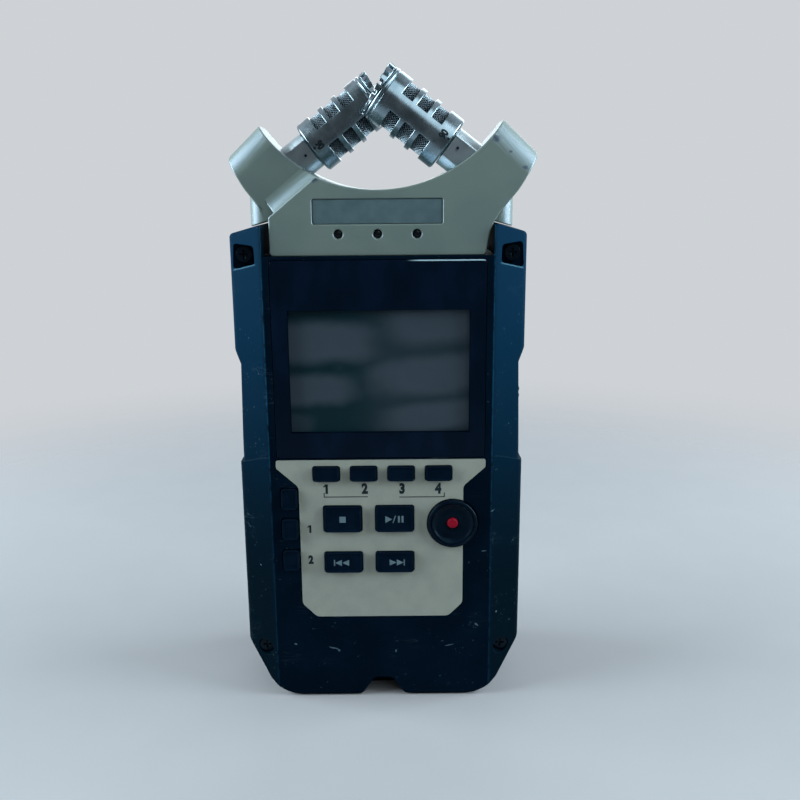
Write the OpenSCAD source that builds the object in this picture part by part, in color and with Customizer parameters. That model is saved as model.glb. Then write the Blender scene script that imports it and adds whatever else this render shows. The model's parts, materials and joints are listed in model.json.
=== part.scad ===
/* [Body] */
// Width over the shoulders and the lower body
body_w = 70.9; // [69:0.1:76]
// Depth from the fronts of the keys to the back
overall_d = 37; // [36:0.1:40]
// Height of the deck that carries the microphone mount
deck_z = 113.6; // [112:0.1:119]
// Rise of the shoulders above the deck at their inner edges
shoulder_rise = 7.3; // [5:0.1:9]
// Fall of the shoulder tops towards the sides
shoulder_fall = 2.3; // [1:0.1:4]
// Half width of the flat front between the slanted side strips
front_half = 27.2; // [26.5:0.1:28.5]
// Depth that the side strips fall back from the front
strip_drop = 6; // [5:0.1:7]
// Wall of the shells
wall = 2; // [1.7:0.1:2.2]
// How far each side is drawn in at the middle of the waist
waist_in = 1.15; // [0.8:0.05:1.4]
// How much further in each side lies at the waist's top than at its foot
waist_taper = 0.7; // [0:0.1:0.8]
// Half width of the flat back
rear_flat = 24; // [23.5:0.1:25.5]
// Height of the waist's lower edge at the sides
waist_low_z = 61.8; // [58:0.1:64]
// Height of the waist's upper edge
waist_top_z = 91; // [88:0.1:96]
// Width of each foot chamfer
chamfer_w = 8.9; // [7:0.1:9]
// Height of each foot chamfer
chamfer_h = 13.8; // [11:0.1:14]
// Width of the notch in the lower front edge, at the foot
notch_w = 12; // [10:0.1:15]
// Height of that notch
notch_h = 5.3; // [4:0.1:5.6]
// Depth of that notch
notch_d = 7; // [5:0.1:7.2]

/* [Display] */
// Width of the window
win_w = 50.8; // [48:0.1:52]
// Height of the window
win_h = 47.9; // [46:0.1:49]
// Thickness of the window
win_t = 1.1; // [0.9:0.05:1.3]
// Width of the visible display
view_w = 43.2; // [40:0.1:44]
// Height of the visible display
view_h = 29.8; // [27:0.1:31]
// Distance from the window's top to the visible display
view_drop = 11.7; // [10:0.1:13]
// Thickness of the display panel
lcd_t = 3.8; // [3:0.1:4]

/* [Keypad] */
// Half width of the keypad plate across its wings
wing_half = 25.7; // [24:0.1:26.2]
// Half width of the keypad plate below its wings
pad_half = 20.3; // [20:0.1:20.5]
// Height of the keypad plate
pad_h = 41.7; // [40:0.1:44]
// Thickness of the keypad plate
pad_t = 0.7; // [0.5:0.05:1]
// Width of a track key
track_w = 6.4; // [5:0.1:7]
// Height of a track key
track_h = 3.6; // [3:0.1:4]
// Distance between the track keys
track_pitch = 9.2; // [9:0.1:9.6]
// Width of a transport key
key_w = 9.35; // [8:0.05:10]
// Height of the stop and play keys
play_h = 6.6; // [5:0.1:7]
// Height of the skip keys
skip_h = 5.2; // [4:0.1:6]
// Diameter of the record button
record_d = 12.4; // [11:0.1:12.8]
// Diameter of the record button's dot
dot_d = 2.7; // [2:0.1:3.5]
// Width of an input key
input_w = 4; // [3.4:0.1:4.2]
// Height of an input key
input_h = 5.2; // [4:0.1:6]
// How far the keys stand out of the front
key_proud = 1; // [0.6:0.1:1.2]
// Travel of the keys
key_travel = 0.6; // [0.4:0.1:0.8]

/* [Microphones] */
// Angle between each microphone and the vertical
mic_angle = 52.5; // [50:0.5:54]
// Radius of a microphone barrel
barrel_r = 6.7; // [6.3:0.05:7]
// Length of a microphone barrel without its crown
barrel_l = 19.7; // [19:0.1:20]
// Wall of a microphone barrel
barrel_wall = 0.7; // [0.6:0.05:1]
// Length of the solid collar at the barrel's foot
collar_l = 3.9; // [3.6:0.1:4.4]
// Length of each window in the barrel
slot_l = 2.9; // [2.5:0.1:3]
// Length of each ring between the windows
ring_l = 1.3; // [1.1:0.1:1.5]
// Half angle of the windows on each side
slot_half = 70; // [60:1:75]
// Height of the crown at the end of the barrel
crown_h = 1.3; // [1:0.1:1.6]
// Slant of the crown's end
crown_tilt = 6.5; // [0:0.5:7]
// Radius of a stem
stem_r = 4.9; // [4.5:0.1:5.2]
// Radius of the pivot that a barrel turns on
pivot_r = 3; // [2.5:0.1:3.5]
// Distance between the two barrels
barrel_gap = 1.6; // [1:0.1:2.2]

/* [Mount] */
// Half span to the corners of the arms
arm_half = 37.5; // [37:0.1:39]
// Half depth of the arms
arm_r = 9; // [8.6:0.1:9.6]
// Radius along the arms' tips
flank_r = 6; // [4:0.1:7]
// Slope of the arms' tips
arm_angle = 43.5; // [41:0.5:46]
// Height of the hollow's lowest point above the deck
hollow_z = 15; // [14:0.1:16]
// Radius of the hollow between the arms
hollow_r = 35.3; // [34:0.1:37]
// Half width of the mount's foot
foot_half = 25.2; // [24:0.1:25.6]
// Radius of the fillet between a plate's edge and the arm behind it
fillet_r = 5; // [3:0.1:6]
// Half width over the posts below the arms
post_half = 32.2; // [30:0.1:33.5]
// Width of the bare name plate
name_w = 30; // [26:0.1:32]
// Height of the bare name plate
name_h = 5.5; // [5:0.1:6]
// Diameter of the peak lamps
lamp_d = 2; // [1.6:0.1:2.4]
// Distance between the peak lamps
lamp_pitch = 9.15; // [8:0.05:10]

/* [Sides] */
// Length of the rockers
rocker_l = 14; // [12:0.5:15]
// Width of the rockers and of the jog dial's rim
rocker_w = 4.6; // [4:0.1:4.8]
// Diameter of the jog dial
dial_d = 15; // [14:0.1:15.4]
// Number of ribs round the jog dial
dial_ribs = 24; // [16:1:32]
// Diameter of the menu button
menu_d = 4.2; // [3.6:0.1:4.4]
// Length of the card door
door_l = 30; // [29:0.1:31]
// Width of the card door
door_w = 7; // [6.6:0.1:7.2]
// Thickness of the card door
door_t = 1.5; // [1.2:0.1:1.8]
// Length of the card slot
card_slot_l = 25; // [24.5:0.1:26]
// Diameter of a headphone plug's hole
phone_d = 3.6; // [3.55:0.05:3.7]
// Diameter of the remote plug's hole
remote_d = 2.6; // [2.55:0.05:2.7]

/* [Back] */
// Diameter of an AA cell
cell_d = 14.2; // [13.8:0.1:14.5]
// Length of an AA cell with its button
cell_l = 50.4; // [49.5:0.1:50.5]
// Wall of the battery tray
tray_wall = 3.2; // [2.4:0.1:3.4]
// Thickness of the battery cover
cover_t = 1.6; // [1.3:0.1:1.8]
// Diameter of the speaker
speaker_d = 15; // [13:0.5:15]
// Number of slots in front of the speaker
speaker_slots = 5; // [3:1:5]
// Diameter of the tripod thread's core
tripod_d = 5.4; // [5.3:0.05:5.5]
// Outer diameter of the tripod bush
bush_d = 10; // [9:0.1:10.5]

/* [Lower end] */
// Distance between the two combo jacks
jack_pitch = 29.6; // [29:0.1:31]
// Outer diameter of a combo jack
jack_d = 21.4; // [21:0.1:21.6]
// Depth of a combo jack
jack_l = 22.8; // [20:0.1:24]
// Diameter of the plug hole in the middle of a combo jack
plug_d = 6.5; // [6.4:0.05:6.6]
// Thickness of the end panel
panel_t = 2.4; // [2:0.1:2.6]

/* [Fits] */
// Gap round a piece that stays put
fit = 0.1; // [0.05:0.01:0.15]
// Gap round a key or another sliding piece
key_gap = 0.25; // [0.2:0.01:0.3]
// Gap round a turning pin
run_gap = 0.05; // [0.03:0.01:0.08]

/* [Hidden] */
$fn = 64;
arc_steps = 6;
eps = 0.01;

// Faces of the body, from front to back
front_y = -overall_d / 2 + key_proud;
rear_y = overall_d / 2;
inner_y = front_y + wall;
back_y = rear_y - wall;
split_y = 0;

// Outline of the body
half_w = body_w / 2;
top_z = deck_z + shoulder_rise;
side_top_z = top_z - shoulder_fall;
shoulder_slope = shoulder_fall / (half_w - front_half);
rear_chamfer = 9;
waist_half = half_w - waist_in;
waist_ramp = 3.6;
waist_foot = waist_half + waist_taper / 2;
waist_head = waist_half - waist_taper / 2;
foot_round = 7;
foot_edge = 1.2;
// Rounder corner at the front of the foot, which runs out before the end panel
corner_r = 14;
corner_tilt = 9;
corner_half = atan2(chamfer_h, chamfer_w) / 2;
corner_run = corner_r * tan(corner_half) * [cos(corner_half), sin(corner_half)];
corner_low = corner_run + [0.5, -3];
step_half = front_half + 1.3;
step_rise = 3;
cavity_half = waist_half - wall;
floor_z = 3.4;
notch_top = notch_w * 0.37;
notch_wall = 2;
notch_lip = 3;
notch_crown = 1.9;
notch_under = 0.1;

// Display window and keypad, measured down from the deck
win_z1 = deck_z - 0.9;
win_z0 = win_z1 - win_h;
win_seat = front_y + win_t + fit;
view_z = win_z1 - view_drop - view_h / 2;
lcd_margin = 3.2;
lcd_y0 = inner_y + fit;
pad_z1 = win_z0 - 0.5;
pad_z0 = pad_z1 - pad_h;
pad_y = front_y + pad_t;
pad_chamfer = 3.6;
wing_drop = 6.9;

// Board behind the display, with a switch behind each key
board_y0 = lcd_y0 + lcd_t + fit;
board_t = 1.5;
board_y1 = board_y0 + board_t;
switch_h = 1.5;
switch_w = 3.6;
switch_y = board_y0 - switch_h;
stem_end_y = switch_y - key_travel - 0.15;
flange = 0.8;
flange_t = 0.7;
key_stem_r = 1.4;
key_dish = 0.25;
key_rim = 0.6;
flange_y0 = inner_y + 0.2;
board_half = cavity_half - 1.3;
board_z0 = 9;
board_z1 = deck_z - wall - 2;
board_posts = [[board_half - 7, board_z0 + 3], [board_half - 3.5, board_z1 - 3.2]];
post_r = 1.6;

// Places of the keys: x, z, width, height
track_z = pad_z1 - 3.5;
track_x0 = -13.4;
row1_z = pad_z1 - 15.2;
row2_z = pad_z1 - 26.7;
left_x = -9.6;
right_x = 3.3;
record_x = 17.7;
record_z = pad_z1 - 16.6;
input_x = -pad_half - 0.35 - input_w / 2;
input_zs = [pad_z1 - 9.9, pad_z1 - 17.8, pad_z1 - 26.1];
track_keys = [for (i = [0 : 3]) [track_x0 + i * track_pitch, track_z, track_w, track_h]];
stop_at = [left_x, row1_z, key_w, play_h];
play_at = [right_x, row1_z, key_w, play_h];
rewind_at = [left_x, row2_z, key_w, skip_h];
forward_at = [right_x, row2_z, key_w, skip_h];
plate_keys = concat(track_keys, [stop_at, play_at, rewind_at, forward_at]);
input_keys = [for (z = input_zs) [input_x, z, input_w, input_h]];
key_corner = 0.7;

// Microphones: the right one in front of the left one
mic_y = -barrel_r - barrel_gap / 2;
mic_x = arm_half - 20.9;
mic_z = deck_z + 25.1;
barrel_in = barrel_r - barrel_wall;
hub_t = 2.4;
barrel_edge = 0.4;
groove_l = 0.4;
groove_deep = 0.25;
groove_z = barrel_l - 1.3;
mesh_t = 0.4;
mesh_r = barrel_in - fit;
capsule_tilt = 7.5;
capsule_r = mesh_r - mesh_t - 0.9;
capsule_l = 9;
stem_foot = 14;
stem_flat = 0.8;
turn_gap = 0.2;
pivot_l = hub_t + 1;
crown_teeth = 16;
crown_wall = 1.9;
tooth_gap = 1.1;

// Mount: each half is a plate with one arm, and they meet in the middle
plate_y = mic_y - arm_r;
arm_back = mic_y + arm_r;
hollow_top = deck_z + hollow_z + hollow_r;
tip_z = deck_z + 22.9;
arm_run = 80;
ledge_z = deck_z + 8.9;
edge_slope = 0.81;
edge_angle = atan(edge_slope);
edge_l = foot_half / cos(edge_angle);
neck_z = deck_z + 7.2;
post_round = 4;
post_y0 = plate_y + 4.5;
post_gap = 0.3;
post_z1 = deck_z + 16;
name_z = deck_z + 10.1;
name_deep = 0.8;
name_t = 0.5;
lamp_z = deck_z + 5;
lamp_l = 4;

// Sides: the controls and sockets lie in one plane on the back of the board
side_y = board_y1 + 3.8;
rocker_z = deck_z - 10;
rocker_pivot_r = 0.9;
rocker_pivot_x = half_w - 1.9;
rocker_proud = 0.3;
rocker_gap = 0.45;
rocker_pin = rocker_w / 2 + 1.2;
rocker_dish_r = 3;
rocker_dish = 0.6;
dial_z = (waist_low_z + waist_top_z) / 2 + 2.6;
dial_proud = 0.5;
dial_x = waist_half + dial_proud - dial_d / 2;
dial_axle_r = 1;
rail_t = 0.8;
menu_z = dial_z - dial_d / 2 - 4.7;
door_z = waist_low_z - 4.5 - door_l / 2;
card_t = 2.4;
card_slot_w = 3;
socket_depth = 22;
socket_half = 3.5;
socket_back = 3.4;
socket_end = 1.2;
phone_l = 12;
dc_l = 10;
usb_l = 7;
remote_l = cavity_half - jack_pitch / 2 - jack_d / 2 + 0.2;
phone_z = dial_z;
power_z = waist_low_z - 9.8;
power_l = 6;
power_w = 3;
power_travel = 3;
usb_z = power_z - 14;
dc_z = usb_z - 10;
remote_z = dc_z - 8;
nose_r = 3;
usb_w = 7.7;
usb_h = 3.9;
usb_wall = 0.5;
dc_d = 5.5;
dc_pin_r = 0.9;

// Battery bay behind its cover
tray_in_w = 2 * cell_d + 2.4;
tray_in_l = cell_l + 4;
tray_half = tray_in_w / 2 + tray_wall;
tray_l = tray_in_l + 2 * tray_wall;
tray_z1 = deck_z - 21;
tray_z0 = tray_z1 - tray_l;
cover_y = rear_y - cover_t;
tray_y1 = cover_y - fit;
tray_floor = 1.1;
cell_y = tray_y1 - 0.7 - cell_d / 2;
tray_y0 = cell_y - cell_d / 2 - 0.2 - tray_floor;
cell_x = cell_d / 2 + 0.5;
cell_button_r = 2.7;
cell_button_l = 1.2;
contact_t = 0.5;
contact_w = 9;
contact_r = 2.4;
contact_h = 1;

// Back and lower end
rear_z = deck_z - 11.6;
speaker_x = -15;
speaker_t = 4;
ext_x = 14;
bush_l = 9;
sunk = 0.2;
panel_z0 = 1.2;
panel_half = jack_pitch / 2 + jack_d / 2 + 0.6;
panel_y0 = front_y + notch_d + 0.8;
jack_y = panel_y0 + jack_d / 2 + 1.5;
panel_y1 = jack_y + jack_d / 2 + 1.2;
ring_out = 9.7;
ring_in = 7.8;
ring_deep = 14;
plug_deep = 19;
contact_hole_r = 1.3;
contact_circle_r = 5.4;
tab_w = 2.2;
tab_l = 6;
tab_x = 2;

// Screws that hold the shells together, from the front
screw_r = 1;
screw_head_r = 1.9;
screw_head_t = 1.2;
screw_top = [half_w - 3.55, deck_z + 0.3];
screw_low = [panel_half + 4.3, chamfer_h - 0.9];
screw_top_y = front_y + strip_drop + 0.6;
screw_low_y = front_y + strip_drop - 1;
boss_r = 2.8;
boss_l = 8;
screw_end_y = split_y + boss_l - 1;

function unit(v) = v / norm(v);
// Points of the arc that rounds corner b, whose third value is its radius, between corners a and c
function corner_arc(a, b, c) =
    let (p = [b[0], b[1]],
         u = unit([a[0], a[1]] - p),
         v = unit([c[0], c[1]] - p),
         half = acos(max(-1, min(1, u * v))) / 2,
         m = p + unit(u + v) * b[2] / sin(half),
         s = p + u * b[2] / tan(half) - m,
         e = p + v * b[2] / tan(half) - m,
         a0 = atan2(s[1], s[0]),
         turn = atan2(s[0] * e[1] - s[1] * e[0], s * e))
    b[2] == 0 ? [p] : [for (i = [0 : arc_steps])
        m + b[2] * [cos(a0 + turn * i / arc_steps), sin(a0 + turn * i / arc_steps)]];
function rounded(c) = [for (i = [0 : len(c) - 1])
    each corner_arc(c[(i + len(c) - 1) % len(c)], c[i], c[(i + 1) % len(c)])];
// Right half of an outline, joined to its mirror image
function flip(p) = [for (i = [0 : len(p) - 1]) i == 0 ? -p[i] : p[i]];
function both(half) = concat(half, [for (i = [len(half) - 1 : -1 : 0]) flip(half[i])]);
function box_corners(w, h, r) = both([[w / 2, -h / 2, r], [w / 2, h / 2, r]]);

// Extrudes an X-Z outline along Y, and a Y-Z outline along X
module along_y(y0, y1) {
    translate([0, y1, 0])
        rotate([90, 0, 0])
            linear_extrude(y1 - y0)
                children();
}
module along_x(x0, x1) {
    translate([x0, 0, 0])
        rotate([90, 0, 90])
            linear_extrude(x1 - x0)
                children();
}
module rod_y(x, z, r, y0, y1) {
    translate([x, y1, z])
        rotate([90, 0, 0])
            cylinder(r = r, h = y1 - y0);
}
module rod_x(y, z, r, x0, x1) {
    translate([x0, y, z])
        rotate([0, 90, 0])
            cylinder(r = r, h = x1 - x0);
}
module bar(x, y, z) {
    translate([x[0], y[0], z[0]])
        cube([x[1] - x[0], y[1] - y[0], z[1] - z[0]]);
}
module both_sides() {
    children();
    mirror([1, 0, 0])
        children();
}

// Cross-section of the body for a given half width
module body_section(half) {
    polygon(rounded(both([
        [front_half, front_y, 0.8],
        [half, front_y + strip_drop, 2.5],
        [half, rear_y - rear_chamfer, 5],
        [rear_flat, rear_y, 6]])));
}
// Full width above and below the drawn-in waist, with a ramp at its top and a slanted step at its foot
module body_zones() {
    translate([0, 0, waist_top_z])
        linear_extrude(top_z - waist_top_z + 1)
            body_section(half_w);
    intersection() {
        union() {
            hull() {
                translate([0, 0, waist_top_z])
                    linear_extrude(eps)
                        body_section(half_w);
                translate([0, 0, waist_top_z - waist_ramp - eps])
                    linear_extrude(eps)
                        body_section(waist_foot);
            }
            translate([0, 0, waist_low_z - 1])
                linear_extrude(waist_top_z - waist_ramp - waist_low_z + 1)
                    body_section(waist_foot);
        }
        along_y(front_y - 1, rear_y + 1)
            polygon(both([
                [waist_foot, waist_low_z - 1],
                [waist_foot, waist_low_z],
                [waist_head, waist_top_z - waist_ramp],
                [half_w, waist_top_z + eps]]));
    }
    intersection() {
        linear_extrude(waist_low_z + step_rise)
            body_section(half_w);
        along_y(front_y - 1, rear_y + 1)
            polygon(both([
                [half_w + 1, -1],
                [half_w + 1, waist_low_z],
                [step_half, waist_low_z + step_rise]]));
    }
}
// Corner taken off the front of the foot, in a frame whose Z axis halves the angle at that corner
module corner_cut() {
    translate([half_w - chamfer_w, front_y, 0])
        rotate([0, -corner_half, 0])
            rotate([-corner_tilt, 0, 0])
                along_y(-2, panel_y0 - front_y)
                    polygon(concat(
                        corner_arc(flip(corner_run), [0, 0, corner_r], corner_run),
                        [corner_low, flip(corner_low)]));
}
module body_form() {
    difference() {
        intersection() {
            along_y(front_y - 1, rear_y + 1)
                polygon(rounded(both([
                    [half_w - chamfer_w, 0, foot_round],
                    [half_w, chamfer_h, 3],
                    [half_w, side_top_z, 1.5],
                    [front_half, top_z, 0.6],
                    [front_half, deck_z, 0]])));
            along_x(-body_w, body_w)
                polygon(rounded([
                    [front_y, 0, foot_edge],
                    [rear_y, 0, 3],
                    [rear_y, top_z, 4],
                    [front_y, top_z, 1.5]]));
            body_zones();
        }
        both_sides()
            corner_cut();
    }
}
module body_cavity() {
    difference() {
        intersection() {
            along_y(inner_y, back_y)
                polygon(both([
                    [half_w - chamfer_w - 2, floor_z],
                    [cavity_half, chamfer_h + 1.2],
                    [cavity_half, deck_z - wall]]));
            linear_extrude(deck_z)
                polygon(both([
                    [front_half - 1, inner_y],
                    [cavity_half, front_y + strip_drop + 1],
                    [cavity_half, rear_y - rear_chamfer - 1],
                    [rear_flat - 1, back_y]]));
        }
        bar([-notch_w / 2 - notch_wall, notch_w / 2 + notch_wall],
            [front_y, front_y + notch_d + notch_wall - 1], [0, notch_h + notch_wall]);
        both_sides() {
            rod_y(screw_low[0], screw_low[1], boss_r, front_y, split_y + boss_l);
            for (p = board_posts)
                rod_y(p[0], p[1], post_r, front_y, board_y0);
        }
    }
}
module notch_cut() {
    along_y(front_y - 1, front_y + notch_d)
        polygon(rounded(both([
            [notch_w / 2 + notch_lip, -1, 0],
            [notch_w / 2 + notch_lip, -notch_under, 0],
            [notch_w / 2, -notch_under, notch_lip],
            [notch_top / 2, notch_h, notch_crown]])));
}
module panel_outline(gap) {
    polygon(rounded([
        [-panel_half - gap, panel_y0 - gap, 3],
        [panel_half + gap, panel_y0 - gap, 3],
        [panel_half + gap, panel_y1 + gap, 4],
        [-panel_half - gap, panel_y1 + gap, 4]]));
}
module pad_outline(gap) {
    polygon(rounded(both([
        [pad_half - pad_chamfer + gap / 2, pad_z0 - gap, 2],
        [pad_half + gap, pad_z0 + pad_chamfer, 2],
        [pad_half + gap, pad_z1 - wing_drop, 2],
        [wing_half + gap, pad_z1 - 2 - gap, 0.8],
        [wing_half + gap, pad_z1 + gap, 0.5]])));
}
module key_outline(k, gap) {
    translate([k[0], k[1]])
        polygon(rounded(box_corners(k[2] + 2 * gap, k[3] + 2 * gap, key_corner)));
}
// Screw seats: a slanted pocket in each shoulder and a round one in each foot corner
module screw_cuts() {
    both_sides() {
        along_y(front_y - 1, screw_top_y)
            polygon(rounded([
                [screw_top[0] - 3.1, screw_top[1] - 2.1, 0.8],
                [screw_top[0] + 2.7, screw_top[1] - 3.6, 0.8],
                [screw_top[0] + 2.3, screw_top[1] + 2.6, 0.8],
                [screw_top[0] - 2.9, screw_top[1] + 2.1, 0.8]]));
        rod_y(screw_top[0], screw_top[1], screw_r + fit, screw_top_y - 1, screw_end_y + 0.5);
        rod_y(screw_low[0], screw_low[1], screw_head_r + 0.2, front_y - 1, screw_low_y);
        rod_y(screw_low[0], screw_low[1], screw_r + fit, screw_low_y - 1, screw_end_y + 0.5);
    }
}
module side_cuts() {
    // Rocker slots with their pivot holes, on both sides
    both_sides() {
        bar([cavity_half - 1, half_w + 1],
            [side_y - rocker_w / 2 - key_gap, side_y + rocker_w / 2 + key_gap],
            [rocker_z - rocker_l / 2 - rocker_gap, rocker_z + rocker_l / 2 + rocker_gap]);
        rod_y(rocker_pivot_x, rocker_z, rocker_pivot_r + run_gap,
            side_y - rocker_pin - 0.2, side_y + rocker_pin + 0.2);
    }
    // Right side: dial slot, menu hole, door seat and card slot
    bar([cavity_half - 1, half_w + 1],
        [side_y - rocker_w / 2 - key_gap, side_y + rocker_w / 2 + key_gap],
        [dial_z - dial_d / 2, dial_z + dial_d / 2]);
    rod_x(side_y, menu_z, menu_d / 2 + key_gap, cavity_half - 1, half_w + 1);
    bar([half_w - door_t - fit, half_w + 1],
        [side_y - door_w / 2 - fit, side_y + door_w / 2 + fit],
        [door_z - door_l / 2 - fit, door_z + door_l / 2 + fit]);
    bar([cavity_half - 1, half_w + 1],
        [side_y - card_slot_w / 2, side_y + card_slot_w / 2],
        [door_z - card_slot_l / 2, door_z + card_slot_l / 2]);
    // Left side: sockets and the power switch's slot
    rod_x(side_y, phone_z, nose_r + fit, -half_w - 1, -cavity_half + 1);
    rod_x(side_y, dc_z, nose_r + 0.8 + fit, -half_w - 1, -cavity_half + 1);
    rod_x(side_y, remote_z, nose_r - 0.6 + fit, -half_w - 1, -cavity_half + 1);
    bar([-half_w - 1, -cavity_half + 1],
        [side_y - usb_h / 2 - fit, side_y + usb_h / 2 + fit],
        [usb_z - usb_w / 2 - fit, usb_z + usb_w / 2 + fit]);
    bar([-half_w - 1, -cavity_half + 1],
        [side_y - power_w / 2 - key_gap, side_y + power_w / 2 + key_gap],
        [power_z - power_l / 2 - power_travel - 0.3, power_z + power_l / 2 + power_travel + 0.3]);
}
module front_shell() {
    color([0.02, 0.06, 0.1])
        difference() {
            body_form();
            bar([-body_w, body_w], [split_y, rear_y + 1], [-1, top_z + 1]);
            body_cavity();
            notch_cut();
            translate([0, 0, -1])
                linear_extrude(floor_z + 2)
                    panel_outline(fit);
            // Seat of the window, and the opening behind it for the display
            along_y(front_y - 1, win_seat)
                translate([0, (win_z0 + win_z1) / 2])
                    polygon(rounded(box_corners(win_w + 2 * fit, win_h + 2 * fit, 0.8)));
            bar([-view_w / 2 - 0.6, view_w / 2 + 0.6], [front_y, inner_y + 1],
                [view_z - view_h / 2 - 0.6, view_z + view_h / 2 + 0.6]);
            // Seat of the keypad plate, and the holes for the keys
            along_y(front_y - 1, pad_y)
                pad_outline(fit);
            along_y(front_y - 1, inner_y + 1)
                for (k = concat(plate_keys, input_keys))
                    key_outline(k, key_gap);
            rod_y(record_x, record_z, record_d / 2 + key_gap, front_y - 1, inner_y + 1);
            screw_cuts();
            side_cuts();
        }
}
module rear_shell() {
    color([0.02, 0.05, 0.08])
        difference() {
            body_form();
            bar([-body_w, body_w], [front_y - 1, split_y], [-1, top_z + 1]);
            body_cavity();
            translate([0, 0, -1])
                linear_extrude(floor_z + 2)
                    panel_outline(fit);
            // Opening that the battery tray and its cover fill
            bar([-tray_half - fit, tray_half + fit], [0, rear_y + 1], [tray_z0 - fit, tray_z1 + fit]);
            for (i = [0 : speaker_slots - 1])
                translate([speaker_x, rear_y - wall - 1, rear_z + (i - (speaker_slots - 1) / 2) * 2.4])
                    translate([-speaker_d / 3, 0, -0.6])
                        cube([speaker_d / 1.5, wall + 2, 1.2]);
            rod_y(0, rear_z, bush_d / 2 + fit, back_y - 1, rear_y + 1);
            rod_y(ext_x, rear_z, nose_r + fit, back_y - 1, rear_y + 1);
            screw_cuts();
        }
}
module display_window() {
    color([0.02, 0.03, 0.05])
        along_y(front_y, front_y + win_t)
            translate([0, (win_z0 + win_z1) / 2])
                polygon(rounded(box_corners(win_w, win_h, 0.8)));
}
module lcd_panel() {
    color([0.16, 0.21, 0.25])
        union() {
            bar([-view_w / 2 - lcd_margin, view_w / 2 + lcd_margin], [lcd_y0, lcd_y0 + lcd_t],
                [view_z - view_h / 2 - lcd_margin, view_z + view_h / 2 + lcd_margin]);
            // Raised glass that fills the opening up to the window
            bar([-view_w / 2, view_w / 2], [win_seat + fit, lcd_y0 + eps],
                [view_z - view_h / 2, view_z + view_h / 2]);
        }
}
module keypad_plate() {
    color([0.47, 0.52, 0.51])
        difference() {
            along_y(front_y, pad_y)
                pad_outline(0);
            along_y(front_y - 1, pad_y + 1)
                for (k = plate_keys)
                    key_outline(k, key_gap);
            rod_y(record_x, record_z, record_d / 2 + key_gap, front_y - 1, pad_y + 1);
        }
}
// Key cap with a dished top, a flange behind the wall and a stem that meets its switch
module key(k) {
    color([0.03, 0.05, 0.08])
        difference() {
            union() {
                along_y(front_y - key_proud, flange_y0 + eps)
                    key_outline(k, 0);
                along_y(flange_y0, flange_y0 + flange_t)
                    key_outline(k, flange);
                rod_y(k[0], k[1], key_stem_r, flange_y0, stem_end_y);
            }
            along_y(front_y - key_proud - 1, front_y - key_proud + key_dish)
                key_outline(k, -key_rim);
        }
}
module record_button() {
    color([0.03, 0.04, 0.07])
        translate([record_x, front_y - key_proud, record_z])
            rotate([-90, 0, 0])
                rotate_extrude()
                    polygon([
                        [dot_d / 2 + fit, 0.9],
                        [record_d * 0.36, 0.7],
                        [record_d * 0.43, 0],
                        [record_d * 0.47, 0],
                        [record_d / 2, 0.5],
                        [record_d / 2, flange_y0 - front_y + key_proud],
                        [record_d / 2 + flange, flange_y0 - front_y + key_proud],
                        [record_d / 2 + flange, flange_y0 - front_y + key_proud + flange_t],
                        [key_stem_r, flange_y0 - front_y + key_proud + flange_t],
                        [key_stem_r, stem_end_y - front_y + key_proud],
                        [0, stem_end_y - front_y + key_proud],
                        [0, 2],
                        [dot_d / 2 + fit, 2]]);
}
module record_dot() {
    color([0.5, 0.05, 0.12])
        rod_y(record_x, record_z, dot_d / 2, front_y - key_proud + 0.6, front_y - key_proud + 2);
}
module main_board() {
    color([0.05, 0.22, 0.12])
        along_y(board_y0, board_y1)
            polygon(both([
                [board_half - 5, board_z0],
                [board_half - 5, chamfer_h + 8],
                [board_half, chamfer_h + 13],
                [board_half, board_z1 - 6],
                [board_half - 5, board_z1]]));
}
module key_switches() {
    color([0.2, 0.2, 0.22])
        along_y(switch_y, board_y0)
            for (k = concat(plate_keys, input_keys, [[record_x, record_z]]))
                translate([k[0] - switch_w / 2, k[1] - switch_w / 2])
                    square(switch_w);
}

// Front view of one half of the mount: its foot, neck and right arm, cut off below the other arm
module mount_outline() {
    polygon(rounded([
        [-foot_half, deck_z, 1],
        [foot_half, deck_z, 1],
        [foot_half + 1, neck_z, 14],
        [arm_half - 4.6, tip_z - 7.8, 20],
        [arm_half, tip_z, 1.6],
        [0, tip_z + arm_half * tan(arm_angle), 0],
        [0, ledge_z + foot_half * edge_slope, 0],
        [-foot_half, ledge_z, 0.5]]));
}
// Front view of the middle that both halves share
module mount_core(gap) {
    polygon([
        [-foot_half - gap, deck_z],
        [foot_half + gap, deck_z],
        [foot_half + gap, ledge_z + gap],
        [0, ledge_z + foot_half * edge_slope + 2 * gap],
        [-foot_half - gap, ledge_z + gap]]);
}
// Cross-section of an arm: its tip is level with the origin and rounded at front and back
module arm_section() {
    polygon(rounded([
        [plate_y, -arm_run, 0],
        [arm_back, -arm_run, 0],
        [arm_back, 0, flank_r],
        [plate_y, 0, flank_r]]));
}
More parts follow.
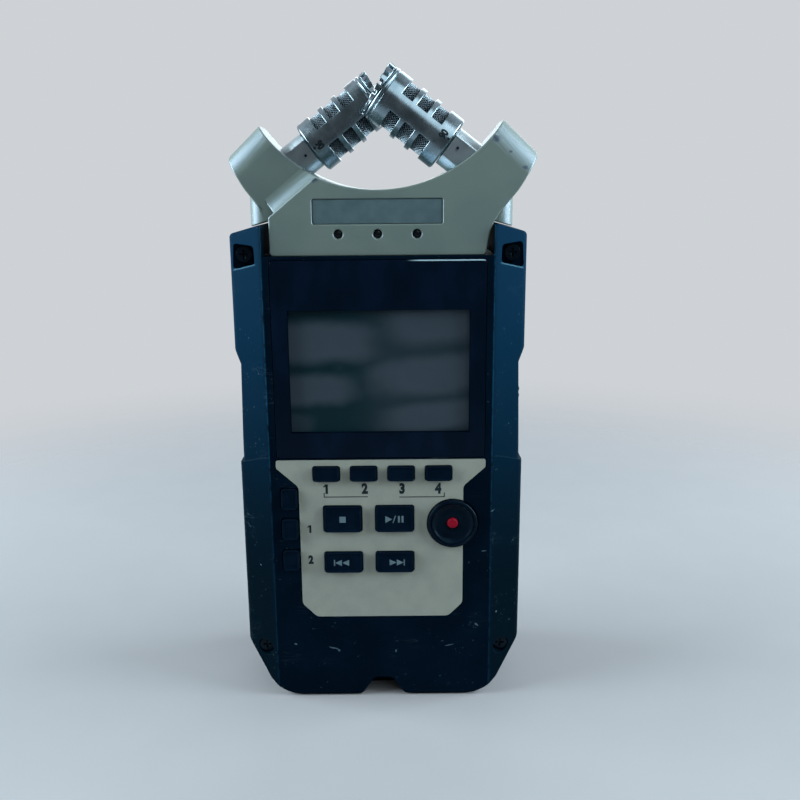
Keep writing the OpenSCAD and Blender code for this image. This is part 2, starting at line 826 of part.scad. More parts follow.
// Cross-section of the hollow fillet on a plate's edge
module fillet_section() {
    polygon(concat(
        [[-arm_back - fit, -1], [-arm_back - fit, fillet_r]],
        [for (i = [1 : arc_steps])
            let (t = 90 * i / arc_steps)
                [-arm_back - fit - fillet_r * (1 - cos(t)), fillet_r * (1 - sin(t))]],
        [[-arm_back - fit - fillet_r, -1]]));
}
module post_section() {
    polygon(rounded([
        [0, post_y0, 0],
        [post_half, post_y0, post_round],
        [post_half, arm_back, post_round],
        [0, arm_back, 0]]));
}
module mount_half() {
    difference() {
        union() {
            intersection() {
                along_y(plate_y - 1, arm_back + 1)
                    mount_outline();
                translate([arm_half, 0, tip_z])
                    rotate([0, arm_angle, 0])
                        along_x(-arm_run, arm_run)
                            arm_section();
            }
            // Fillet in front of the other half's arm, inside that arm's outline
            intersection() {
                rotate([0, 0, 180])
                    along_y(plate_y, -plate_y)
                        mount_outline();
                translate([-foot_half, 0, ledge_z])
                    rotate([0, -edge_angle, 0])
                        along_x(0, edge_l)
                            fillet_section();
            }
            // Post below the arm, whose foot follows the shoulder
            intersection() {
                along_y(plate_y, -plate_y)
                    polygon([
                        [foot_half - 1, top_z + post_gap],
                        [front_half, top_z + post_gap],
                        [post_half, top_z + post_gap - (post_half - front_half) * shoulder_slope],
                        [post_half, post_z1],
                        [foot_half - 1, post_z1]]);
                translate([0, 0, deck_z])
                    linear_extrude(post_z1)
                        post_section();
            }
        }
        rod_y(0, hollow_top, hollow_r, plate_y - 1, -plate_y);
        // Room for the core of the other half
        along_y(split_y, -plate_y)
            mount_core(fit);
        // Seat of the stem in the arm
        mic_place(0)
            translate([0, 0, -stem_foot - 0.2])
                cylinder(r = stem_r + fit / 2, h = stem_foot + 6);
    }
}
module mount_front() {
    color([0.36, 0.43, 0.43])
        difference() {
            mount_half();
            along_y(plate_y - 1, plate_y + name_deep)
                translate([0, name_z])
                    polygon(rounded(box_corners(name_w + 2 * fit, name_h + 2 * fit, 0.4)));
            for (i = [-1 : 1])
                rod_y(i * lamp_pitch, lamp_z, lamp_d / 2 + fit / 2, plate_y - 1, plate_y + lamp_l + 0.4);
        }
}
module mount_rear() {
    color([0.36, 0.43, 0.43])
        rotate([0, 0, 180])
            mount_half();
}
module name_plate() {
    color([0.33, 0.4, 0.43])
        along_y(plate_y + name_deep - name_t, plate_y + name_deep)
            translate([0, name_z])
                polygon(rounded(box_corners(name_w, name_h, 0.4)));
}
module peak_lamps() {
    color([0.03, 0.05, 0.06])
        for (i = [-1 : 1])
            rod_y(i * lamp_pitch, lamp_z, lamp_d / 2, plate_y + 0.3, plate_y + 0.3 + lamp_l);
}

// Places a piece on a microphone's axis, with its foot at the origin: side is 0 right or 180 left
module mic_place(side) {
    rotate([0, 0, side])
        translate([mic_x, mic_y, mic_z])
            rotate([0, -mic_angle, 0])
                children();
}
module mic_stem(side) {
    color([0.4, 0.45, 0.5])
        mic_place(side) {
            difference() {
                translate([0, 0, -stem_foot])
                    cylinder(r = stem_r, h = stem_foot - turn_gap);
                for (s = [0, 180])
                    rotate([0, 0, s])
                        translate([-stem_r, stem_r - stem_flat, -6.2])
                            cube([2 * stem_r, stem_r, 6.2]);
            }
            translate([0, 0, -turn_gap - eps])
                cylinder(r = pivot_r, h = pivot_l + turn_gap);
        }
}
module mic_barrel(side) {
    color([0.55, 0.6, 0.65])
        mic_place(side)
            difference() {
                rotate_extrude()
                    polygon([
                        [pivot_r + run_gap, 0],
                        [barrel_r - barrel_edge, 0],
                        [barrel_r, barrel_edge],
                        [barrel_r, groove_z],
                        [barrel_r - groove_deep, groove_z],
                        [barrel_r - groove_deep, groove_z + groove_l],
                        [barrel_r, groove_z + groove_l],
                        [barrel_r, barrel_l - barrel_edge],
                        [barrel_r - barrel_edge, barrel_l],
                        [barrel_in, barrel_l],
                        [barrel_in, hub_t],
                        [pivot_r + run_gap, hub_t]]);
                // Windows on the upper and lower sides, between solid bars at front and back
                for (i = [0 : 2], s = [0, 180])
                    translate([0, 0, collar_l + i * (slot_l + ring_l)])
                        rotate([0, 0, s - slot_half])
                            rotate_extrude(angle = 2 * slot_half)
                                translate([barrel_in - 0.5, 0])
                                    square([barrel_wall + 1, slot_l]);
            }
}
module mic_mesh(side) {
    color([0.12, 0.2, 0.24])
        mic_place(side)
            difference() {
                translate([0, 0, hub_t + fit])
                    cylinder(r = mesh_r, h = barrel_l - hub_t - 2 * fit);
                translate([0, 0, hub_t])
                    cylinder(r = mesh_r - mesh_t, h = barrel_l - hub_t - mesh_t - fit);
            }
}
module mic_capsule(side) {
    color([0.6, 0.55, 0.4])
        mic_place(side)
            translate([0, 0, (hub_t + barrel_l) / 2 + 2])
                rotate([0, capsule_tilt, 0])
                    cylinder(r = capsule_r, h = capsule_l, center = true);
}
module mic_crown(side) {
    color([0.55, 0.6, 0.65])
        mic_place(side)
            difference() {
                translate([0, 0, barrel_l])
                    cylinder(r = barrel_r - 0.1, h = crown_h + 2);
                translate([0, 0, barrel_l - 1])
                    cylinder(r = barrel_r - crown_wall, h = crown_h + 5);
                for (i = [0 : crown_teeth - 1])
                    rotate([0, 0, (i + 0.5) * 360 / crown_teeth])
                        translate([barrel_r - crown_wall - 1, -tooth_gap / 2, barrel_l + 0.3])
                            cube([crown_wall + 2, tooth_gap, crown_h + 3]);
                translate([0, 0, barrel_l + crown_h])
                    rotate([0, -crown_tilt, 0])
                        translate([-2 * barrel_r, -2 * barrel_r, 0])
                            cube([4 * barrel_r, 4 * barrel_r, 4]);
            }
}

// Rocker that tips about a pin in the side wall
module rocker() {
    union() {
        difference() {
            bar([cavity_half - 0.6, half_w + rocker_proud],
                [side_y - rocker_w / 2, side_y + rocker_w / 2],
                [rocker_z - rocker_l / 2, rocker_z + rocker_l / 2]);
            rod_y(half_w + rocker_proud + rocker_dish_r - rocker_dish, rocker_z, rocker_dish_r,
                side_y - rocker_w, side_y + rocker_w);
        }
        rod_y(rocker_pivot_x, rocker_z, rocker_pivot_r, side_y - rocker_pin, side_y + rocker_pin);
    }
}
module level_rocker() {
    color([0.08, 0.1, 0.12])
        rocker();
}
module volume_rocker() {
    color([0.08, 0.1, 0.12])
        mirror([1, 0, 0])
            rocker();
}
module jog_dial() {
    color([0.1, 0.12, 0.14])
        difference() {
            rod_y(dial_x, dial_z, dial_d / 2, side_y - rocker_w / 2, side_y + rocker_w / 2);
            rod_y(dial_x, dial_z, dial_axle_r + run_gap, side_y - rocker_w, side_y + rocker_w);
            for (i = [0 : dial_ribs - 1])
                translate([dial_x, 0, dial_z])
                    rotate([0, i * 360 / dial_ribs, 0])
                        rod_y(dial_d / 2 + 0.25, 0, 0.6, side_y - rocker_w, side_y + rocker_w);
        }
}
// Fork that carries the dial's axle and slides on the board when the dial is pressed
module dial_carriage() {
    color([0.5, 0.5, 0.52])
        union() {
            for (y = [board_y1 + 0.2, side_y + rocker_w / 2 + 0.3])
                bar([dial_x - dial_d / 2 - 2.5, dial_x + 2.5], [y, y + rail_t], [dial_z - 3, dial_z + 3]);
            bar([dial_x - dial_d / 2 - 2.5, dial_x - dial_d / 2 - 0.8],
                [board_y1 + 0.2, side_y + rocker_w / 2 + 0.3 + rail_t], [dial_z - 3, dial_z + 3]);
            rod_y(dial_x, dial_z, dial_axle_r, board_y1 + 0.2, side_y + rocker_w / 2 + 0.3 + rail_t);
        }
}
module menu_button() {
    color([0.08, 0.1, 0.12])
        union() {
            rod_x(side_y, menu_z, menu_d / 2, cavity_half - 1, waist_half + 0.4);
            rod_x(side_y, menu_z, menu_d / 2 + 0.6, cavity_half - 1.8, cavity_half - 0.8);
        }
}
module card_door() {
    color([0.03, 0.07, 0.11])
        difference() {
            bar([half_w - door_t, half_w], [side_y - door_w / 2, side_y + door_w / 2],
                [door_z - door_l / 2, door_z + door_l / 2]);
            // Finger scoop at the free edge
            rod_x(side_y - door_w / 2, door_z, 2, half_w - 0.5, half_w + 1);
        }
}
module card_socket() {
    color([0.65, 0.67, 0.7])
        difference() {
            bar([cavity_half - socket_depth, cavity_half - 0.3],
                [board_y1 + fit, side_y + card_slot_w / 2 + 0.8],
                [door_z - card_slot_l / 2 - 1.2, door_z + card_slot_l / 2 + 1.2]);
            bar([cavity_half - socket_depth + 1.5, cavity_half],
                [side_y - card_t / 2, side_y + card_t / 2],
                [door_z - card_slot_l / 2 + 0.2, door_z + card_slot_l / 2 - 0.2]);
        }
}
// Socket on the board's back whose round nose fills a hole in the left wall
module round_socket(z, nose, hole_d, outer, depth) {
    difference() {
        union() {
            rod_x(side_y, z, nose, -outer + sunk, -cavity_half + 1);
            bar([-cavity_half + 0.3, -cavity_half + depth],
                [board_y1 + fit, side_y + socket_back], [z - socket_half, z + socket_half]);
        }
        rod_x(side_y, z, hole_d / 2, -outer - 1, -cavity_half + depth - socket_end);
    }
}
module headphone_jack() {
    color([0.05, 0.06, 0.07])
        round_socket(phone_z, nose_r, phone_d, waist_half, phone_l);
}
module remote_socket() {
    color([0.05, 0.06, 0.07])
        round_socket(remote_z, nose_r - 0.6, remote_d, half_w, remote_l);
}
module dc_socket() {
    color([0.05, 0.06, 0.07]) {
        round_socket(dc_z, nose_r + 0.8, dc_d, half_w, dc_l);
        rod_x(side_y, dc_z, dc_pin_r, -half_w + 1.5, -cavity_half + dc_l - 0.5);
    }
}
module usb_socket() {
    color([0.65, 0.67, 0.7])
        difference() {
            union() {
                bar([-half_w + sunk, -cavity_half + usb_l], [side_y - usb_h / 2, side_y + usb_h / 2],
                    [usb_z - usb_w / 2, usb_z + usb_w / 2]);
                bar([-cavity_half + 0.3, -cavity_half + usb_l], [board_y1 + fit, side_y],
                    [usb_z - usb_w / 3, usb_z + usb_w / 3]);
            }
            bar([-half_w - 1, -cavity_half + usb_l - 2],
                [side_y - usb_h / 2 + usb_wall, side_y + usb_h / 2 - usb_wall],
                [usb_z - usb_w / 2 + usb_wall, usb_z + usb_w / 2 - usb_wall]);
        }
}
module power_switch() {
    color([0.08, 0.1, 0.12])
        union() {
            bar([-half_w - 0.3, -cavity_half + 0.3], [side_y - power_w / 2, side_y + power_w / 2],
                [power_z - power_l / 2, power_z + power_l / 2]);
            bar([-cavity_half + 0.2, -cavity_half + 1], [side_y - power_w, side_y + power_w],
                [power_z - power_l / 2 - 2, power_z + power_l / 2 + 2]);
        }
}

module battery_tray() {
    color([0.12, 0.13, 0.14])
        difference() {
            bar([-tray_half, tray_half], [tray_y0, tray_y1], [tray_z0, tray_z1]);
            bar([-tray_in_w / 2, tray_in_w / 2], [tray_y0 + tray_floor, tray_y1 + 1],
                [tray_z0 + tray_wall, tray_z1 - tray_wall]);
        }
}
module cell() {
    cylinder(d = cell_d, h = cell_l - cell_button_l, center = true);
    translate([0, 0, (cell_l - cell_button_l) / 2 - eps])
        cylinder(r = cell_button_r, h = cell_button_l);
}
module aa_cells() {
    color([0.55, 0.5, 0.35])
        for (s = [-1, 1])
            translate([s * cell_x, cell_y, (tray_z0 + tray_z1) / 2])
                rotate([s < 0 ? 180 : 0, 0, 0])
                    translate([0, 0, -cell_button_l / 2])
                        cell();
}
module battery_contacts() {
    color([0.7, 0.7, 0.66])
        for (s = [-1, 1], e = [0, 1])
            translate([s * cell_x, cell_y, (tray_z0 + tray_z1) / 2])
                mirror([0, 0, e])
                    translate([0, 0, tray_in_l / 2 - contact_t]) {
                        translate([-contact_w / 2, -contact_w / 2, 0])
                            cube([contact_w, contact_w, contact_t]);
                        translate([0, 0, -contact_h])
                            cylinder(r = contact_r, h = contact_h + eps);
                    }
}
module battery_cover() {
    color([0.02, 0.05, 0.08])
        difference() {
            along_y(cover_y, rear_y)
                translate([0, (tray_z0 + tray_z1) / 2])
                    polygon(rounded(box_corners(2 * tray_half, tray_l, 1.2)));
            // Grip ridges at the upper end
            for (i = [0 : 4])
                bar([-7, 7], [rear_y - 0.5, rear_y + 1], [tray_z1 - 6 - i * 2, tray_z1 - 5 - i * 2]);
        }
}
module speaker() {
    color([0.15, 0.15, 0.16])
        union() {
            rod_y(speaker_x, rear_z, speaker_d / 2, back_y - fit - speaker_t + 1.5, back_y - fit);
            rod_y(speaker_x, rear_z, speaker_d / 3, back_y - fit - speaker_t, back_y - fit);
        }
}
module tripod_bush() {
    color([0.7, 0.66, 0.5])
        difference() {
            union() {
                rod_y(0, rear_z, bush_d / 2, rear_y - bush_l, rear_y - sunk);
                rod_y(0, rear_z, bush_d / 2 + 1, rear_y - bush_l, back_y - fit);
            }
            rod_y(0, rear_z, tripod_d / 2, rear_y - bush_l + 1.5, rear_y);
        }
}
module ext_mic_jack() {
    color([0.05, 0.06, 0.07])
        difference() {
            union() {
                rod_y(ext_x, rear_z, nose_r, back_y - 1, rear_y - sunk);
                bar([ext_x - 3.6, ext_x + 3.6], [rear_y - 14, back_y - fit], [rear_z - 3.6, rear_z + 3.6]);
            }
            rod_y(ext_x, rear_z, phone_d / 2, rear_y - 12.8, rear_y);
        }
}

module end_panel() {
    color([0.03, 0.04, 0.05])
        difference() {
            translate([0, 0, panel_z0])
                linear_extrude(panel_t)
                    panel_outline(0);
            for (s = [-1, 1]) {
                translate([s * jack_pitch / 2, jack_y, 0])
                    cylinder(d = jack_d + 2 * fit, h = 10);
                bar([s * tab_x - tab_w / 2 - key_gap, s * tab_x + tab_w / 2 + key_gap],
                    [jack_y - tab_l / 2 - key_gap, jack_y + tab_l / 2 + key_gap], [0, 10]);
            }
        }
}
// Combined jack: a ring round a core with a plug hole and three contact holes
module combo_jack(s) {
    color([0.06, 0.06, 0.07])
        translate([s * jack_pitch / 2, jack_y, panel_z0])
            difference() {
                cylinder(d = jack_d, h = jack_l);
                difference() {
                    translate([0, 0, -1])
                        cylinder(r = ring_out, h = ring_deep + 1);
                    translate([0, 0, 0.8])
                        cylinder(r = ring_in, h = ring_deep);
                }
                translate([0, 0, -1])
                    cylinder(d = plug_d, h = plug_deep + 1);
                for (a = [0, 120, 240])
                    rotate([0, 0, a + 90])
                        translate([contact_circle_r, 0, 0])
                            cylinder(r = contact_hole_r, h = 11);
            }
}
module jack_tab(s) {
    color([0.5, 0.52, 0.54])
        union() {
            bar([s * tab_x - tab_w / 2, s * tab_x + tab_w / 2], [jack_y - tab_l / 2, jack_y + tab_l / 2],
                [panel_z0 - 0.2, panel_z0 + panel_t + 0.4]);
            bar([s * tab_x - tab_w / 2, s * tab_x + tab_w / 2],
                [jack_y - tab_l / 2 - 1, jack_y + tab_l / 2 + 1],
                [panel_z0 + panel_t + 0.2, panel_z0 + panel_t + 1.2]);
        }
}
module case_screw(x, z, seat_y) {
    difference() {
        union() {
            rod_y(x, z, screw_head_r, seat_y - screw_head_t, seat_y);
            rod_y(x, z, screw_r, seat_y - eps, screw_end_y);
        }
        // Cross recess
        bar([x - 1.1, x + 1.1], [seat_y - screw_head_t - 1, seat_y - 0.5], [z - 0.22, z + 0.22]);
        bar([x - 0.22, x + 0.22], [seat_y - screw_head_t - 1, seat_y - 0.5], [z - 1.1, z + 1.1]);
    }
}
module case_screws() {
    color([0.1, 0.11, 0.12])
        for (s = [-1, 1]) {
            case_screw(s * screw_top[0], screw_top[1], screw_top_y);
            case_screw(s * screw_low[0], screw_low[1], screw_low_y);
        }
}

front_shell();
rear_shell();
display_window();
lcd_panel();
keypad_plate();
key(track_keys[0]);  // track_key_1
key(track_keys[1]);  // track_key_2
key(track_keys[2]);  // track_key_3
key(track_keys[3]);  // track_key_4
key(stop_at);  // stop_key
key(play_at);  // play_key
key(rewind_at);  // rewind_key
key(forward_at);  // forward_key
record_button();
record_dot();
key(input_keys[0]);  // input_key_top
key(input_keys[1]);  // input_key_middle
key(input_keys[2]);  // input_key_bottom
main_board();
key_switches();
mount_front();
mount_rear();
name_plate();
peak_lamps();
mic_stem(0);  // mic_stem_right
mic_barrel(0);  // mic_barrel_right
mic_mesh(0);  // mic_mesh_right
mic_capsule(0);  // mic_capsule_right
mic_crown(0);  // mic_crown_right
mic_stem(180);  // mic_stem_left
mic_barrel(180);  // mic_barrel_left
mic_mesh(180);  // mic_mesh_left
mic_capsule(180);  // mic_capsule_left
mic_crown(180);  // mic_crown_left
level_rocker();
jog_dial();
dial_carriage();
menu_button();
card_door();
card_socket();
volume_rocker();
headphone_jack();
power_switch();
usb_socket();
dc_socket();
remote_socket();
battery_tray();
aa_cells();
battery_contacts();
battery_cover();
speaker();
tripod_bush();
ext_mic_jack();
end_panel();
combo_jack(1);  // combo_jack_right
combo_jack(-1);  // combo_jack_left
jack_tab(1);  // jack_tab_right
jack_tab(-1);  // jack_tab_left
case_screws();
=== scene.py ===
import bpy
import json
import math
from mathutils import Matrix, Vector


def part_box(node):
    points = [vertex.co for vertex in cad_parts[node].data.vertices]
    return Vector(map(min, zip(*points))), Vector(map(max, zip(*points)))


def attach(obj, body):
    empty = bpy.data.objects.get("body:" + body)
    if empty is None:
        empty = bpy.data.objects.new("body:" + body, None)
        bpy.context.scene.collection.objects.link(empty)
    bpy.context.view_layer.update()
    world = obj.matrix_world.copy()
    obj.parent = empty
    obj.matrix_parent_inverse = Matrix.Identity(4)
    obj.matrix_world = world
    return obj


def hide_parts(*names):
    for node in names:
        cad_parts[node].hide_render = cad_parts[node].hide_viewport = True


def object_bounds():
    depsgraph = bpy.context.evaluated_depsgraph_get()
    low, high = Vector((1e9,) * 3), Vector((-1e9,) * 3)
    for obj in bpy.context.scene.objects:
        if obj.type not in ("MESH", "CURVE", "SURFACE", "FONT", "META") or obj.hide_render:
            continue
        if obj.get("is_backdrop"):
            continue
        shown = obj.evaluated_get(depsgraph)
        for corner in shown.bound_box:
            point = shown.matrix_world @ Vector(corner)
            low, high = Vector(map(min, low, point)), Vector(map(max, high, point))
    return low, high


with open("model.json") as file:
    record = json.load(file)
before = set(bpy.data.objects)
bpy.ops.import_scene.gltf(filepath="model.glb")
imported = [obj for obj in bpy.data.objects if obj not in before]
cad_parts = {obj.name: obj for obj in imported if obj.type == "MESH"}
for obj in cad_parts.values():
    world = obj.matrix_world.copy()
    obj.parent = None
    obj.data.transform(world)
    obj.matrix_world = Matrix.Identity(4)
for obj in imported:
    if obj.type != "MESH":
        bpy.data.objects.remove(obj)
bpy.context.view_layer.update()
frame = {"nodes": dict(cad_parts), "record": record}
mm = 0.001
nodes = frame["nodes"]
bodyOf = {n: body for body, group in frame["record"]["behaviour"]["bodies"].items() for n in group}
slotOf = {s["node"]: s["material_slot"] for s in frame["record"]["subparts"]}
print("frame loaded:", len(nodes), "nodes")


def tone(r, g, b):
    # screen colour 0-255 to linear
    flat = [c / 255 for c in (r, g, b)]
    return tuple(c / 12.92 if c <= 0.04045 else ((c + 0.055) / 1.055) ** 2.4 for c in flat) + (1.0,)


def feed(tree, socket, value):
    if isinstance(value, Sock):
        tree.links.new(value.out, socket)
    else:
        socket.default_value = value


def mathsOf(operation, reflected=False):
    # method that joins a socket and other values by one Math node
    def method(self, *others):
        values = (*others, self) if reflected else (self, *others)
        return self.maths(operation, *values)
    return method


class Sock:
    def __init__(self, tree, out):
        self.tree, self.out = tree, out

    def maths(self, operation, *values):
        node = self.tree.nodes.new("ShaderNodeMath")
        node.operation = operation
        for socket, value in zip(node.inputs, values):
            feed(self.tree, socket, value)
        return Sock(self.tree, node.outputs[0])

    __add__ = mathsOf("ADD")
    __radd__ = mathsOf("ADD", True)
    __sub__ = mathsOf("SUBTRACT")
    __rsub__ = mathsOf("SUBTRACT", True)
    __mul__ = mathsOf("MULTIPLY")
    __rmul__ = mathsOf("MULTIPLY", True)
    __pow__ = mathsOf("POWER")
    __abs__ = mathsOf("ABSOLUTE")
    sine = mathsOf("SINE")
    least = mathsOf("MINIMUM")
    most = mathsOf("MAXIMUM")


scratchLook = {"stretch": (0.22, 1, 1.9), "width": 0.012, "patch": 0.13, "share": (0.60, 0.70)}


class Finish:
    def __init__(self, name, **fixed):
        self.material = bpy.data.materials.new(name)
        self.material.use_nodes = True
        self.tree = self.material.node_tree
        self.surface = self.tree.nodes["Principled BSDF"]
        self.give({key.replace("_", " "): value for key, value in fixed.items()})

    def give(self, inputs):
        for key, value in inputs.items():
            feed(self.tree, self.surface.inputs[key], value)

    def node(self, kind, settings=None, inputs=None, out=0):
        made = self.tree.nodes.new(kind)
        for key, value in (settings or {}).items():
            setattr(made, key, value)
        for key, value in (inputs or {}).items():
            feed(self.tree, made.inputs[key], value)
        return Sock(self.tree, made.outputs[out])

    def place(self):
        # object coordinates in millimetres
        coords = self.node("ShaderNodeTexCoord", out="Object")
        return self.node("ShaderNodeVectorMath", {"operation": "SCALE"}, {0: coords, "Scale": 1 / mm})

    def split(self, vector):
        parts = self.tree.nodes.new("ShaderNodeSeparateXYZ")
        feed(self.tree, parts.inputs[0], vector)
        return [Sock(self.tree, out) for out in parts.outputs]

    def turned(self, vector, scale=(1, 1, 1), angle=(0, 0, 0)):
        return self.node("ShaderNodeMapping", None, {"Vector": vector, "Scale": scale,
                         "Rotation": [math.radians(a) for a in angle]})

    def along(self, vector, axis):
        return self.node("ShaderNodeVectorMath", {"operation": "DOT_PRODUCT"}, {0: vector, 1: axis}, "Value")

    def noise(self, vector, scale, detail=2.0, rough=0.5):
        return self.node("ShaderNodeTexNoise", None,
                         {"Vector": vector, "Scale": scale, "Detail": detail, "Roughness": rough})

    def band(self, value, low, high, first=0.0, last=1.0):
        # smooth step from first to last while value goes from low to high
        return self.node("ShaderNodeMapRange", {"interpolation_type": "SMOOTHSTEP"},
                         {"Value": value, "From Min": low, "From Max": high, "To Min": first, "To Max": last})

    def spot(self, vector, point, size, angle=0.0, soft=0.5, wobble=0.0, power=2.0):
        # patch of the given half sizes, turned about y: 1 inside, 0 outside; a higher power is squarer
        local = self.node("ShaderNodeMapping", {"vector_type": "TEXTURE"},
                          {"Vector": vector, "Location": point, "Scale": size,
                           "Rotation": (0, math.radians(angle), 0)})
        x, y, z = self.split(local)
        reach = (abs(x) ** power + abs(y) ** power + abs(z) ** power) ** (1 / power)
        return self.band(reach + wobble, 1.0, 1.0 - soft)

    def mix(self, a, b, factor):
        return self.node("ShaderNodeMix", {"data_type": "RGBA"}, {0: factor, 6: a, 7: b}, 2)

    def bump(self, height, depth, strength=1.0):
        return self.node("ShaderNodeBump", None,
                         {"Height": height, "Distance": depth * mm, "Strength": strength})

    def scratches(self, vector, angle, scale):
        # thin lines: level lines of a stretched noise, kept only in a few patches
        drawn = self.turned(vector, scratchLook["stretch"], (0, angle, 0))
        line = self.band(abs(self.noise(drawn, scale, 0.0) - 0.5), scratchLook["width"], 0.0)
        patch = self.band(self.noise(vector, scratchLook["patch"], 1.0), *scratchLook["share"])
        return line * patch


caseLook = {
    # the strips' blue top tone is a painted reflection; the edge colour is wear and a painted highlight, the
    # lip colour a painted highlight
    "face": (3, 14, 26), "faceDeep": (2, 11, 22), "stripLitTop": (1, 30, 50), "stripLow": (1, 10, 18),
    "edge": (9, 48, 70), "lip": (70, 108, 126), "scratch": (70, 90, 102),
    "roughness": 0.5, "grain": 5.5, "cloud": 0.07, "specular": 0.015, "sheen": (0.08, 0.6, 1.0, 1),
    # scratches: angle, scale; and how strongly each kind of wear, and the painted highlight of the pocket
    # lip, shows
    "scratches": [(24.0, 0.5), (-63.0, 0.42)], "scratchWear": 0.22, "speckWear": 0.3, "lipHighlight": 0.55,
    "nickWear": 0.8, "nickDepth": 6.0,
    # flat front, and the side strips that slope back from it; heights over which the strips and the worn edge
    # line grow paler with painted light from above
    "frontY": -17.5, "frontHalf": 27.2, "stripSlope": 0.735, "frontMask": (-10.0, -12.0),
    "stripMask": (-7.0, -12.0), "stripLitHigher": (30.0, 116.0), "edgeLitHigher": (40.0, 90.0, 0.25, 0.9),
    # painted highlight on the lower lip of the shoulder pockets: height at the middle, fall per mm, inner and
    # outer end
    "lipZ": 119.25, "lipFall": 0.2586, "lipInner": (28.3, 29.4), "lipOuter": (34.9, 34.2),
    # nicks in the front: x, z, half length, half width, angle
    "nicks": [(-22.5, 14.9, 0.5, 0.3, 20), (-12.7, 13.7, 1.6, 0.25, 15), (-11.4, 13.0, 0.5, 0.35, 60),
              (3.3, 12.7, 0.3, 0.45, 0), (17.0, 14.3, 1.3, 0.16, -12), (23.9, 20.1, 0.7, 0.3, 40),
              (29.2, 22.9, 0.3, 0.3, 0), (25.6, 40.2, 0.8, 0.16, -5), (-31.0, 35.8, 0.4, 0.2, 30),
              (27.7, 50.8, 0.7, 0.14, -20)],
}


def makeCase():
    f = Finish("casePlastic", Specular_IOR_Level=caseLook["specular"], Specular_Tint=caseLook["sheen"])
    p = f.place()
    x, y, z = f.split(p)
    aside = abs(x)
    half = caseLook["frontHalf"]
    front = f.band(y, *caseLook["frontMask"])
    cloud = f.noise(p, caseLook["cloud"], 3.0)
    base = f.mix(tone(*caseLook["faceDeep"]), tone(*caseLook["face"]), f.band(cloud, 0.35, 0.65))
    # slanted side strips: their blue tone and their paler top are painted reflection and painted light from
    # above
    litHigher = f.band(z, *caseLook["stripLitHigher"])
    strip = f.mix(tone(*caseLook["stripLow"]), tone(*caseLook["stripLitTop"]), litHigher)
    base = f.mix(base, strip, f.band(aside, half - 0.3, half + 1.0) * f.band(y, *caseLook["stripMask"]))
    # worn edge between front and strips, partly a painted highlight that grows stronger higher up
    edge = f.band(aside, half - 0.3, half) * f.band(aside, half + 0.3, half + 0.05)
    edge = edge * f.band(z, *caseLook["edgeLitHigher"]) * f.band(f.noise(p, 0.5, 2.0), 0.3, 0.55) * front
    base = f.mix(base, tone(*caseLook["edge"]), edge)
    # painted highlight on the lower lip of the pockets, on the strip's surface only
    under = z + aside * caseLook["lipFall"] - caseLook["lipZ"]
    lip = f.band(under, -0.34, -0.18) * f.band(under, 0.2, 0.0)
    lip = lip * f.band(aside, *caseLook["lipInner"]) * f.band(aside, *caseLook["lipOuter"])
    depth = y - caseLook["frontY"] - (aside - half) * caseLook["stripSlope"]
    base = f.mix(base, tone(*caseLook["lip"]), lip * f.band(depth, 0.4, 0.15) * caseLook["lipHighlight"])
    # scratches, specks and nicks
    first, second = (f.scratches(p, *look) for look in caseLook["scratches"])
    specks = f.band(f.noise(p, 1.9, 0.0), 0.775, 0.80) * f.band(f.noise(p, 0.16, 1.0), 0.5, 0.62)
    marked = (first.most(second) * caseLook["scratchWear"]).most(specks * front * caseLook["speckWear"])
    ragged = (f.noise(p, 1.6, 2.0) - 0.5) * 1.4
    for x0, z0, long, wide, angle in caseLook["nicks"]:
        size = (long, caseLook["nickDepth"], wide)
        nick = f.spot(p, (x0, caseLook["frontY"], z0), size, angle, 0.6, ragged)
        marked = marked.most(nick * caseLook["nickWear"])
    f.give({"Base Color": f.mix(base, tone(*caseLook["scratch"]), marked),
            "Roughness": caseLook["roughness"] + (cloud - 0.5) * 0.2 + marked * 0.15,
            "Normal": f.bump(f.noise(p, caseLook["grain"], 2.0), 0.02, 0.7)})
    return f.material


mountLook = {
    "paint": (89, 102, 95), "shade": (84, 97, 91), "scuff": (34, 46, 50),
    "roughness": 0.41, "specular": 0.95, "sheen": (0.5, 0.7, 1.0, 1), "coat": 0.15, "coatRough": 0.25,
    "scratch": (40.0, 0.6), "scratchWear": 0.25,
    # scuffs: place, half sizes
    "scuffs": [((-14.3, -16.4, 130.9), (1.1, 3.0, 0.8)), ((27.2, -16.4, 139.6), (1.3, 3.0, 0.9)),
               ((34.0, -15.6, 133.2), (0.9, 3.0, 0.8)), ((30.5, -16.4, 136.8), (0.5, 3.0, 0.4))],
}


def makeMount():
    f = Finish("mountPaint", Specular_IOR_Level=mountLook["specular"], Specular_Tint=mountLook["sheen"],
               Coat_Roughness=mountLook["coatRough"])
    p = f.place()
    cloud = f.noise(p, 0.09, 3.0)
    base = f.mix(tone(*mountLook["shade"]), tone(*mountLook["paint"]), f.band(cloud, 0.35, 0.65))
    rough = f.noise(p, 1.4, 3.0)
    marked = f.scratches(p, *mountLook["scratch"]) * mountLook["scratchWear"]
    for point, size in mountLook["scuffs"]:
        marked = marked.most(f.spot(p, point, size, 0.0, 0.7, (rough - 0.5) * 1.6))
    f.give({"Base Color": f.mix(base, tone(*mountLook["scuff"]), marked),
            "Roughness": mountLook["roughness"] + (rough - 0.5) * 0.12 + marked * 0.2,
            "Coat Weight": mountLook["coat"] - marked * mountLook["coat"],
            "Normal": f.bump(f.noise(p, 2.6, 2.0), 0.012, 0.6)})
    return f.material


